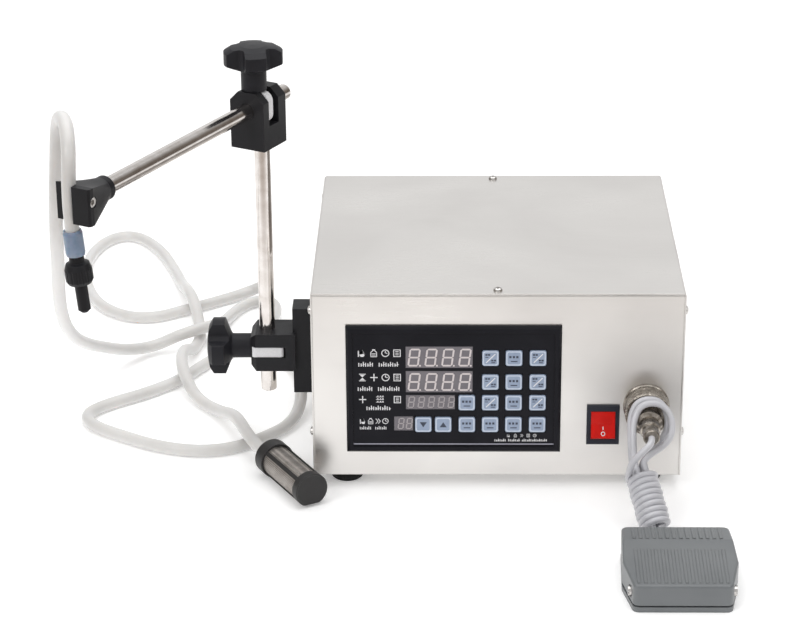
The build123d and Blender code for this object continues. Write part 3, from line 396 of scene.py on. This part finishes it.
# Pale edge tone for the cage: rubbed wear and painted edge highlights.
CAGE_HIGHLIGHT_WEAR = (0.22, 0.21, 0.21)
CAGE = moulded("cage_plastic", (0.030, 0.029, 0.029), rough=0.38, grain=600.0, highlight_wear_tone=CAGE_HIGHLIGHT_WEAR)
FILM = panel_film()
KEYS = key_film()
LENS = smoked_lens()
RED = rocker_red()
HOSE = silicone_hose()
SLEEVE = blue_sleeve()
GAUZE = gauze()
CORD = grey_cord()
PEDAL = pedal_paint()
BOARD = circuit_board()
CAST = machined_steel("cast_alloy", (0.60, 0.61, 0.62), 0.42)
MOTOR = moulded("motor_enamel", (0.05, 0.055, 0.06), rough=0.4)
WHITE = printed("white_print", (0.78, 0.78, 0.80))
RING = printed("key_ring", (0.56, 0.63, 0.74))
DARK = printed("dark_print", (0.035, 0.045, 0.075))
LIT = printed("bright_segment", (0.66, 0.60, 0.60), 0.3)
LINE = printed("grey_line", (0.42, 0.42, 0.50))
DIM = printed("dim_segment", (0.36, 0.33, 0.34), 0.3)

FINISHES = {
    SHEET: ["base_chassis", "top_cover"],
    STEEL: ["housing_screws", "clip_screw", "pedal_screws", "nozzle_spring", "pedal_spring"],
    ROD: ["mast", "arm_rod"],
    NICKEL: ["socket_shell", "plug_shell"],
    NYLON: ["mast_bracket", "cross_block", "nozzle_clip", "nozzle_body", "nozzle_poppet",
            "hose_fittings", "power_inlet", "pedal_switch"],
    KNOB: ["lower_knob", "upper_knob"],
    SWITCH: ["rocker_housing"],
    FEET: ["rubber_feet"],
    CAGE: ["strainer_cage"],
    FILM: ["panel_bezel"],
    KEYS: [name for name in NODES if name.startswith("key_")],
    LENS: ["display_lenses"],
    RED: ["rocker_lever"],
    SLEEVE: ["nozzle_sleeve"],
    GAUZE: ["strainer_mesh"],
    PEDAL: ["pedal_base", "pedal_cover"],
    BOARD: ["control_board"],
    CAST: ["pump_head", "pump_piston", "power_supply"],
    MOTOR: ["pump_motor", "pump_rotor"],
    WHITE: ["lower_eye", "upper_eye"],
}


def finish_nodes():
    for material, names in FINISHES.items():
        for name in names:
            NODES[name].data.materials.clear()
            NODES[name].data.materials.append(material)


# ---------------------------------------------------------------- camera, floor and light

CAMERA_PLACE = (-0.0377, -1.9343, 0.9149)
CAMERA_TURN = (1.261, 66.789, -0.498)
CAMERA_LENS = 120.37


def camera():
    """Looks down at the front from a little left of the middle."""
    turn, tilt, roll = [math.radians(a) for a in CAMERA_TURN]
    made = bpy.data.objects.new("camera", bpy.data.cameras.new("camera"))
    SCENE.collection.objects.link(made)
    facing = Matrix.Rotation(turn, 4, "Z") @ Matrix.Rotation(tilt, 4, "X")
    made.matrix_world = Matrix.Translation(CAMERA_PLACE) @ facing @ Matrix.Rotation(roll, 4, "Z")
    made.data.lens = CAMERA_LENS
    made.data.sensor_width = 36.0
    made.data.clip_start = 0.1
    SCENE.camera = made


def softbox(name, place, target, size, watts, tone=(1.0, 1.0, 1.0)):
    light = bpy.data.lights.new(name, "AREA")
    light.shape = "RECTANGLE"
    light.size, light.size_y = size
    light.energy = watts
    light.color = tone
    made = bpy.data.objects.new(name, light)
    SCENE.collection.objects.link(made)
    away = Vector(place) - Vector(target)
    facing = away.to_track_quat("Z", "Y").to_matrix().to_4x4()
    made.matrix_world = Matrix.Translation(place) @ facing


ROOM_LIGHT = 0.66
FLOOR_GLOW = 0.22


def studio():
    """White room with darker sides, large soft lights and a pale floor, greyer far in front."""
    world = bpy.data.worlds.new("studio")
    SCENE.world = world
    world.use_nodes = True
    tree = world.node_tree
    back = tree.nodes["Background"]
    coord = tree.nodes.new("ShaderNodeTexCoord")
    parts = tree.nodes.new("ShaderNodeSeparateXYZ")
    tree.links.new(coord.outputs["Generated"], parts.inputs["Vector"])
    side = tree.nodes.new("ShaderNodeMath")
    side.operation = "ABSOLUTE"
    tree.links.new(parts.outputs["X"], side.inputs[0])
    ramp = tree.nodes.new("ShaderNodeValToRGB")
    ramp.color_ramp.elements[0].position = 0.45
    ramp.color_ramp.elements[0].color = (1.0, 1.0, 1.0, 1.0)
    ramp.color_ramp.elements[1].position = 0.85
    ramp.color_ramp.elements[1].color = (0.27, 0.235, 0.205, 1.0)
    tree.links.new(side.outputs[0], ramp.inputs["Fac"])
    tree.links.new(ramp.outputs["Color"], back.inputs["Color"])
    back.inputs["Strength"].default_value = ROOM_LIGHT

    softbox("overhead", (0.0, 0.1, 1.9), (0, 0, 0), (1.8, 1.8), 20.0)
    softbox("key", (-1.5, -1.6, 1.7), (-0.05, -0.1, 0.12), (1.0, 1.0), 17.0)
    softbox("fill", (1.7, -1.2, 1.2), (0.0, -0.1, 0.1), (0.9, 1.2), 6.2)
    softbox("back", (0.0, 2.4, 1.15), (0.0, 0.0, 0.15), (3.2, 1.3), 2.8)

    bm = bmesh.new()
    bmesh.ops.create_grid(bm, x_segments=24, y_segments=24, size=6.0)
    mesh = bpy.data.meshes.new("floor")
    bm.to_mesh(mesh)
    bm.free()
    floor = bpy.data.objects.new("floor", mesh)
    SCENE.collection.objects.link(floor)
    s = Shader("floor_paper")
    fibres = s.noise(8.0, 5.0)
    paper = s.mix(s.spread(fibres, 0.3, 0.7), (0.93, 0.93, 0.93), (0.95, 0.95, 0.95))
    near = s.spread(s.axis("Y"), -0.75, -0.40)
    s.colour(s.mix(near, (0.50, 0.44, 0.40), paper))
    s.roughness(s.spread(fibres, 0.3, 0.7, 0.75, 0.85))
    s.main.inputs["Emission Color"].default_value = (1.0, 1.0, 1.0, 1.0)
    s.link(s.maths("MULTIPLY", near, FLOOR_GLOW), s.main.inputs["Emission Strength"])
    mesh.materials.append(s.material)
    SCENE.view_settings.view_transform = "Standard"


# ---------------------------------------------------------------- hoses and the pedal's lead

HOSE_D = 0.010
LEAD_D = 0.005

# Each list is a hose's own centreline, the ends and corners of its runs, in millimetres.
NOZZLE_RUN = [
    (-288.88, -282.98, 254.61), (-291.19, -282.98, 279.5), (-291.19, -282.98, 307.0),
    (-290.0, -280.5, 328.0), (-293.5, -261.0, 341.0), (-297.5, -249.25, 340.0),
]
ARCH_RUN = [
    (-297.5, -249.25, 340.0), (-301.5, -237.5, 339.0), (-306.5, -221.0, 321.0), (-308.5, -219.5, 296.0),
    (-309.5, -218.75, 283.5),
]
ARM_RUN = [
    (-309.5, -218.75, 283.5), (-310.5, -218.0, 271.0), (-314.4, -201.5, 237.0), (-317.15, -184.5, 219.9),
]
SWING_RUN = [
    (-317.15, -184.5, 219.9), (-319.9, -167.5, 202.8), (-327.1, -127.5, 165.7), (-333.5, -82.5, 127.2),
    (-336.5, -35.5, 91.0), (-334.9, -11.5, 75.5),
]
FALL_RUN = [
    (-334.9, -11.5, 75.5), (-333.3, 12.5, 60.0), (-324.1, 60.5, 34.9), (-310.0, 101.0, 14.0),
    (-299.5, 113.0, 10.25),
]
FLOOR_RUN = [
    (-299.5, 113.0, 10.25), (-289.0, 125.0, 6.5), (-265.0, 127.5, 17.5), (-242.5, 144.0, 17.5),
    (-233.0, 177.0, 7.0), (-225.0, 207.0, 5.0), (-216.5, 222.5, 5.0), (-205.0, 231.0, 5.0),
    (-193.0, 227.0, 5.0), (-188.5, 211.0, 5.0), (-190.5, 186.0, 5.0), (-198.0, 155.0, 5.0),
    (-212.0, 131.0, 5.0), (-230.0, 111.0, 5.0), (-243.0, 92.0, 5.0), (-258.0, 62.0, 5.0),
    (-285.0, 34.0, 5.0), (-316.0, 12.0, 5.0), (-331.5, -8.0, 5.0), (-322.0, -29.0, 5.0),
    (-300.0, -45.0, 5.0), (-266.0, -67.0, 5.0), (-232.0, -76.0, 5.0), (-205.0, -69.0, 5.0),
    (-184.0, -51.0, 5.0), (-164.5, -28.0, 5.0), (-156.5, 2.0, 8.0), (-157.0, 22.5, 23.5),
    (-157.0, 22.5, 44.0),
]
SUCTION_RUN = [
    (-157.0, 50.5, 44.0), (-157.0, 50.5, 23.0), (-166.0, 81.0, 5.5), (-180.5, 115.0, 6.5),
    (-192.0, 142.0, 17.8), (-196.0, 172.0, 17.0), (-197.0, 207.0, 17.5), (-199.0, 240.0, 17.5),
    (-214.0, 250.0, 6.5), (-236.0, 234.0, 5.0), (-263.0, 214.0, 5.0), (-303.0, 186.0, 5.0),
    (-343.0, 210.0, 5.0), (-366.0, 268.0, 5.0), (-372.0, 333.0, 5.0), (-358.0, 382.0, 5.0),
    (-333.0, 392.0, 5.0), (-306.5, 356.0, 5.0), (-287.5, 303.0, 5.0), (-275.5, 258.0, 7.5),
    (-268.0, 226.0, 17.5), (-259.5, 196.0, 17.5), (-253.0, 169.0, 6.0), (-250.5, 143.0, 5.0),
    (-255.0, 119.0, 6.0), (-260.0, 98.0, 16.5), (-260.0, 72.0, 18.0), (-255.0, 46.0, 15.5),
    (-243.0, 22.0, 5.0), (-222.0, -4.5, 6.0), (-207.0, -33.0, 17.5), (-195.0, -68.5, 17.5),
    (-185.2, -86.0, 14.0), (-175.7, -97.9, 14.0),
]


def spline(name, points, diameter, material, steps=10):
    """A round smooth line through the runs given in millimetres."""
    curve = bpy.data.curves.new(name, "CURVE")
    curve.dimensions = "3D"
    line = curve.splines.new("NURBS")
    line.points.add(len(points) - 1)
    for point, place in zip(line.points, points):
        point.co = (*(Vector(place) * MM), 1.0)
    line.order_u = 3
    line.use_endpoint_u = True
    line.resolution_u = steps
    line.use_smooth = True
    curve.bevel_depth = diameter / 2
    curve.bevel_resolution = 6
    curve.use_fill_caps = True
    curve.materials.append(material)
    made = bpy.data.objects.new(name, curve)
    SCENE.collection.objects.link(made)
    return made


def as_mesh(piece):
    """The piece's mesh as it is drawn."""
    bpy.context.view_layer.update()
    return bpy.data.meshes.new_from_object(piece.evaluated_get(bpy.context.evaluated_depsgraph_get()))


def centreline(piece):
    """Points along a spline, read from its curve with no bevel."""
    depth = piece.data.bevel_depth
    piece.data.bevel_depth = 0.0
    mesh = as_mesh(piece)
    points = [v.co.copy() for v in mesh.vertices]
    bpy.data.meshes.remove(mesh)
    piece.data.bevel_depth = depth
    return points


def run_length(points):
    return sum((b - a).length for a, b in zip(points, points[1:]))


def hose(name, points, body, stands_for):
    piece = spline(name, points, HOSE_D, HOSE)
    length = run_length(centreline(piece))
    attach(piece, body)
    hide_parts(*stands_for)
    return piece


def bending_hose(name, points, stands_for):
    """A stretch of hose as a still mesh, made from a smooth line through its runs."""
    curve = spline(name + "_line", points, HOSE_D, HOSE)
    path = centreline(curve)
    mesh = as_mesh(curve)
    mesh.name = name
    piece = bpy.data.objects.new(name, mesh)
    SCENE.collection.objects.link(piece)
    bpy.data.objects.remove(curve)
    for face in mesh.polygons:
        face.use_smooth = True
    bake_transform(piece)
    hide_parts(*stands_for)
    return piece


def hoses():
    hose("hose_nozzle", NOZZLE_RUN, "clip", ["outlet_hose_top"])
    bending_hose("hose_arch", ARCH_RUN, ["outlet_hose_top"])
    bending_hose("hose_by_arm", ARM_RUN, ["outlet_hose"])
    bending_hose("hose_swing", SWING_RUN, ["outlet_hose"])
    bending_hose("hose_fall", FALL_RUN, ["outlet_hose"])
    hose("hose_outlet_floor", FLOOR_RUN, "housing", ["outlet_hose"])
    hose("hose_suction", SUCTION_RUN, "housing", ["suction_hose"])


# The bundle of the pedal's lead: wraps round four strands, two of each bight over the plug.
HANK_LOW = Vector((115.7, -218.5, 10.8))
HANK_HIGH = Vector((105.2, -182.0, 40.5))
WRAPS = 9
WRAP_R = 9.95
TURN_POINTS = 12
STRAND_SIDE = 3.4
PLUG_EXIT = (112.5, -185.5, 70.0)
TO_WRAP = [PLUG_EXIT, (112.5, -192.5, 70.0), (105.5, -198.0, 65.0), (97.0, -196.0, 55.0)]
REAR_BIGHT = [
    (98.6, -162.0, 62.0), (98.8, -154.0, 74.0), (105.0, -150.8, 85.4),
    (120.5, -150.8, 85.4), (127.0, -153.5, 74.0), (125.6, -162.0, 61.0),
]
FRONT_BIGHT = [
    (100.3, -171.5, 60.0), (100.2, -162.5, 73.0), (106.5, -157.4, 85.4),
    (122.5, -157.4, 85.4), (130.2, -161.0, 73.0), (127.6, -170.5, 59.5),
]


def bundle_frame():
    along = (HANK_HIGH - HANK_LOW).normalized()
    side = along.cross(Vector((0, 0, 1))).normalized()
    return along, side, side.cross(along)


def in_bundle(height, sideways, outwards):
    """A point by its height above the bundle's low end, sideways and outwards from its axis."""
    along, side, normal = bundle_frame()
    return HANK_LOW + along * height + side * sideways + normal * outwards


def wraps():
    """The turns from the bundle's top down, a diameter apart, each a little off round."""
    tall = (HANK_HIGH - HANK_LOW).length
    steps = WRAPS * TURN_POINTS
    points = []
    for i in range(steps + 1):
        share = i / steps
        turn = math.radians(200) + 2 * math.pi * WRAPS * share
        radius = WRAP_R + 0.35 * math.sin(2.3 * turn)
        height = tall - 3.0 - (tall - 6.0) * share
        points.append(in_bundle(height, radius * math.cos(turn), radius * math.sin(turn)))
    return points


def lead():
    points = [Vector(p) for p in TO_WRAP] + wraps()
    points += [Vector((117.6, -231.0, 6.8)), Vector((117.6, -239.0, 6.8))]
    piece = spline("pedal_lead", points, LEAD_D, CORD, steps=6)
    length = run_length(centreline(piece))
    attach(piece, "housing")
    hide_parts("pedal_cord", "cord_hank")


def bight(name, middle, out):
    tall = (HANK_HIGH - HANK_LOW).length
    heights = (2.0, tall * 0.5, tall, tall + 9)
    left = [in_bundle(height, -STRAND_SIDE, out) for height in heights]
    right = [in_bundle(height, STRAND_SIDE, out) for height in reversed(heights)]
    points = left + [Vector(p) for p in middle] + right
    piece = spline(name, points, LEAD_D, CORD)
    length = run_length(centreline(piece))
    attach(piece, "housing")
    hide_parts("pedal_cord")


# ---------------------------------------------------------------- printed marks

PANEL_FRONT = -130.0
KEY_FRONT = -130.9
LENS_FRONT = -129.7
PROUD = 0.06
INK_BACK = 0.2
KEY_ROWS = {
    110.0: (-5.3, 12.3, 30.3),
    90.3: (-5.3, 12.3, 30.3),
    73.2: (-23.0, -5.3, 12.3, 30.3),
    55.0: (-55.9, -40.8, -22.9, -5.3, 12.3, 30.3),
}


class Prints:
    """Marks in thin raised ink on a face towards -Y, drawn by x and z in millimetres."""

    def __init__(self, name, body, slot, front, materials):
        self.name, self.body, self.slot, self.front = name, body, slot, front
        self.materials = materials
        self.bm = bmesh.new()

    def shape(self, points, ink=0):
        depths = [self.front(x, z) if callable(self.front) else self.front for x, z in points]
        front = [self.bm.verts.new(mm(x, y - PROUD, z)) for (x, z), y in zip(points, depths)]
        back = [self.bm.verts.new(mm(x, y + INK_BACK, z)) for (x, z), y in zip(points, depths)]
        faces = [self.bm.faces.new(front), self.bm.faces.new(reversed(back))]
        for i in range(len(points)):
            faces.append(self.bm.faces.new((front[i - 1], back[i - 1], back[i], front[i])))
        for face in faces:
            face.material_index = ink

    def bar(self, x0, x1, z0, z1, ink=0):
        self.shape([(x0, z0), (x1, z0), (x1, z1), (x0, z1)], ink)

    def stroke(self, start, end, width, ink=0):
        a, b = Vector(start), Vector(end)
        side = (b - a).orthogonal().normalized() * width / 2
        self.shape([tuple(a - side), tuple(b - side), tuple(b + side), tuple(a + side)], ink)

    def ring(self, outer, inner, ink=0):
        for i in range(len(outer)):
            self.shape([outer[i - 1], outer[i], inner[i], inner[i - 1]], ink)

    def disc(self, x, z, radius, ink=0):
        self.shape([(x + radius * math.cos(a), z + radius * math.sin(a)) for a in turns(12)], ink)

    def done(self):
        bmesh.ops.recalc_face_normals(self.bm, faces=self.bm.faces)
        mesh = bpy.data.meshes.new(self.name)
        self.bm.to_mesh(mesh)
        self.bm.free()
        for material in self.materials:
            mesh.materials.append(material)
        made = bpy.data.objects.new(self.name, mesh)
        SCENE.collection.objects.link(made)
        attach(made, self.body)


def turns(count):
    return [2 * math.pi * i / count for i in range(count)]


def round_ring(x, z, radius, count=20):
    return [(x + radius * math.cos(a), z + radius * math.sin(a)) for a in turns(count)]


def rounded_square(x, z, half, corner):
    points = []
    for quarter in range(4):
        middle = math.radians(45 + 90 * quarter)
        cx = x + math.copysign(half - corner, math.cos(middle))
        cz = z + math.copysign(half - corner, math.sin(middle))
        for step in (-45, -15, 15, 45):
            angle = middle + math.radians(step)
            points.append((cx + corner * math.cos(angle), cz + corner * math.sin(angle)))
    return points


def digit(marks, x, z, wide, tall, thick, ink=0):
    """A slanted seven-segment 8 from its lower left corner."""
    slant = math.tan(math.radians(7.5))
    half, gap, middle = thick / 2, 0.12, tall / 2

    def leaning(points):
        return [(x + px + pz * slant, z + pz) for px, pz in points]

    for pz in (half, middle, tall - half):
        ends = [(half + gap, pz), (thick + gap, pz - half), (wide - thick - gap, pz - half)]
        ends += [(wide - half - gap, pz), (wide - thick - gap, pz + half), (thick + gap, pz + half)]
        marks.shape(leaning(ends), ink)
    for px in (half, wide - half):
        for low, high in ((half, middle), (middle, tall - half)):
            ends = [(px, low + gap), (px + half, low + half + gap), (px + half, high - half - gap)]
            ends += [(px, high - gap), (px - half, high - half - gap)]
            ends.append((px - half, low + half + gap))
            marks.shape(leaning(ends), ink)


def drop(marks, x, z, s):
    tip = [(x, z + 0.5 * s)]
    bowl = [(x + 0.3 * s * math.cos(a), z - 0.17 * s + 0.3 * s * math.sin(a)) for a in turns(16)]
    marks.shape(tip + [p for p in bowl if p[1] <= z + 0.01 * s][::-1])
    marks.bar(x - 0.48 * s, x - 0.36 * s, z - 0.45 * s, z + 0.30 * s)


def bottle(marks, x, z, s):
    w = 0.09 * s
    marks.bar(x - 0.36 * s, x + 0.36 * s, z - 0.48 * s, z - 0.48 * s + w)
    for side in (-1, 1):
        marks.stroke((x + side * 0.33 * s, z - 0.46 * s), (x + side * 0.33 * s, z + 0.12 * s), w)
        marks.stroke((x + side * 0.33 * s, z + 0.10 * s), (x + side * 0.12 * s, z + 0.30 * s), w)
    marks.bar(x - 0.17 * s, x + 0.17 * s, z + 0.32 * s, z + 0.48 * s)
    for level in (-0.27, -0.10):
        marks.bar(x - 0.22 * s, x + 0.22 * s, z + level * s, z + level * s + 0.8 * w)


def clock(marks, x, z, s):
    marks.ring(round_ring(x, z, 0.46 * s), round_ring(x, z, 0.36 * s))
    marks.bar(x - 0.045 * s, x + 0.045 * s, z, z + 0.27 * s)
    marks.bar(x + 0.06 * s, x + 0.24 * s, z - 0.045 * s, z + 0.045 * s)


def hourglass(marks, x, z, s):
    for end in (-0.46, 0.38):
        marks.bar(x - 0.38 * s, x + 0.38 * s, z + end * s, z + (end + 0.08) * s)
    marks.shape([(x - 0.30 * s, z + 0.34 * s), (x + 0.30 * s, z + 0.34 * s), (x, z + 0.02 * s)])
    marks.shape([(x - 0.30 * s, z - 0.34 * s), (x, z - 0.02 * s), (x + 0.30 * s, z - 0.34 * s)])


def frame_mark(marks, x, z, s):
    outer = [(x - 0.42 * s, z - 0.46 * s), (x + 0.42 * s, z - 0.46 * s)]
    outer += [(x + 0.42 * s, z + 0.46 * s), (x - 0.42 * s, z + 0.46 * s)]
    inner = [(x + 0.76 * (px - x), z + 0.80 * (pz - z)) for px, pz in outer]
    marks.ring(outer, inner)
    for level in (-0.20, 0.0, 0.20):
        marks.bar(x - 0.18 * s, x + 0.18 * s, z + (level - 0.04) * s, z + (level + 0.04) * s)


def cross(marks, x, z, s):
    marks.bar(x - 0.42 * s, x + 0.42 * s, z - 0.06 * s, z + 0.06 * s)
    for side in (-1, 1):
        marks.bar(x - 0.06 * s, x + 0.06 * s, z + min(side * 0.46, side * 0.08) * s,
                  z + max(side * 0.46, side * 0.08) * s)


def beads(marks, x, z, s):
    for row in (-0.34, 0.0, 0.34):
        marks.bar(x - 0.46 * s, x + 0.46 * s, z + (row - 0.03) * s, z + (row + 0.03) * s)
        for column in (-0.26, 0.06, 0.34):
            marks.bar(x + (column - 0.07) * s, x + (column + 0.07) * s, z + (row + 0.05) * s,
                      z + (row + 0.16) * s)


def chevrons(marks, x, z, s):
    for shift in (-0.32, 0.02):
        marks.stroke((x + shift * s, z + 0.40 * s), (x + (shift + 0.32) * s, z), 0.10 * s)
        marks.stroke((x + shift * s, z - 0.40 * s), (x + (shift + 0.32) * s, z), 0.10 * s)


def ticks(marks, x0, x1, z0, z1, ink=0, pitch=1.1, gaps=()):
    """A row of upright bars of uneven height, standing in for a caption."""
    count = int((x1 - x0) / pitch)
    for i in range(count):
        if i not in gaps:
            x = x0 + i * pitch
            tall = (z1 - z0) * (0.62 + 0.38 * math.sin(2.1 * i + 0.7) ** 2)
            marks.bar(x, x + 0.42 * pitch, z0, z0 + tall, ink)
            if i % 3:
                low = z0 + 0.36 * tall
                marks.bar(x + 0.42 * pitch, x + 0.85 * pitch, low, low + 0.3 * pitch, ink)


def panel_marks():
    marks = Prints("panel_print", "housing", "black_panel", PANEL_FRONT, [WHITE, LINE])
    captions = [
        (113.9, 6.6, 102.9, 106.8, (drop, bottle, clock, frame_mark), (-104.5, -73.2), (7, 8)),
        (93.9, 6.6, 82.8, 86.7, (hourglass, cross, clock, frame_mark), (-105.2, -72.2), (7, 8)),
        (75.6, 6.4, 66.8, 70.6, (cross, beads, frame_mark), (-98.8, -78.8), ()),
        (57.6, 5.2, 50.6, 53.4, (drop, bottle, chevrons, clock), (-104.0, -82.8), (7, 8)),
    ]
    for z, size, low, high, signs, (x0, x1), gaps in captions:
        left, right = (-101.4, -84.6) if size < 6 else (-101.6, -75.4)
        for i, sign in enumerate(signs):
            sign(marks, left + (right - left) * i / (len(signs) - 1), z, size)
        ticks(marks, x0, x1, low, high, gaps=gaps, pitch=1.7 if size > 6 else 1.3)
    marks.bar(-109.8, 43.5, 38.05, 38.8, 1)
    for i, sign in enumerate((drop, bottle, chevrons, frame_mark, clock)):
        sign(marks, 9.0 + 4.9 * i, 45.6, 2.9)
    ticks(marks, -1.8, 38.6, 40.6, 42.9, gaps=(7, 15), pitch=1.3)
    marks.done()


def display_digits():
    bright = Prints("display_digits", "housing", "smoked_lens", LENS_FRONT, [LIT, DIM])
    for low in (101.6, 81.5):
        for i in range(4):
            x = -67.8 + 12.7 * i
            digit(bright, x, low + 1.3, 8.5, 14.6, 1.35)
            bright.disc(x + 9.6, low + 1.9, 0.75)
    for i in range(5):
        digit(bright, -67.9 + 7.55 * i, 68.6, 4.9, 9.5, 0.95, 1)
    for i in range(2):
        digit(bright, -75.6 + 6.2 * i, 50.8, 4.6, 9.4, 0.95, 1)
    bright.done()


def key_marks():
    for row, (z, columns) in enumerate(KEY_ROWS.items(), 1):
        for column, x in enumerate(columns, 1):
            name = f"key_row{row}_{column}"
            marks = Prints(name + "_print", name, "key_blue_grey", KEY_FRONT, [RING, WHITE, DARK])
            marks.ring(rounded_square(x, z, 5.85, 1.7), rounded_square(x, z, 4.85, 1.3))
            diagonal = column in (1, 3) if row < 3 else row == 3 and column in (2, 4)
            if row == 4 and column < 3:
                tip = -2.1 if column == 1 else 2.1
                marks.shape([(x - 2.7, z - tip), (x, z + tip), (x + 2.7, z - tip)], 2)
            elif diagonal:
                marks.stroke((x - 3.2, z - 3.5), (x + 3.6, z + 3.6), 0.75, 1)
                for i in range(2):
                    marks.bar(x - 3.9 + 2.0 * i, x - 2.3 + 2.0 * i, z + 2.2, z + 3.6, 2)
                    marks.bar(x + 0.5 + 2.0 * i, x + 2.1 + 2.0 * i, z - 2.4, z - 1.0, 2)
                marks.bar(x - 3.9, x - 1.6, z + 0.6, z + 1.2, 2)
                marks.bar(x + 0.6, x + 3.6, z - 3.8, z - 3.1, 2)
            else:
                for i in range(3):
                    marks.bar(x - 3.6 + 2.6 * i, x - 1.9 + 2.6 * i, z + 0.2, z + 2.0, 2)
                marks.bar(x - 2.4, x + 2.6, z - 2.9, z - 2.1, 2)
            marks.done()


def rocker_marks():
    lever = NODES["rocker_lever"]

    def face(x, z):
        return lever.ray_cast(mm(x, -200.0, z), Vector((0, 1, 0)))[1].y / MM

    marks = Prints("rocker_print", "rocker", "rocker_red", face, [WHITE])
    x, z = 80.2, 53.7
    marks.bar(x - 0.35, x + 0.35, z - 2.9, z - 0.6)
    marks.ring(round_ring(x, z - 5.6, 1.6, 16), round_ring(x, z - 5.6, 1.05, 16))
    marks.done()


# ---------------------------------------------------------------- springs


def spring(node, body):
    """A copy of the spring, parented to its body."""
    piece = NODES[node].copy()
    piece.data = piece.data.copy()
    piece.name = node + "_coil"
    SCENE.collection.objects.link(piece)
    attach(piece, body)
    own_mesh(piece)
    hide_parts(node)


def springs():
    spring("pedal_spring", "housing")
    spring("nozzle_spring", "clip")


finish_nodes()
camera()
studio()
springs()
hoses()
lead()
bight("lead_bight_rear", REAR_BIGHT, -3.3)
bight("lead_bight_front", FRONT_BIGHT, 3.3)
panel_marks()
display_digits()
key_marks()
rocker_marks()
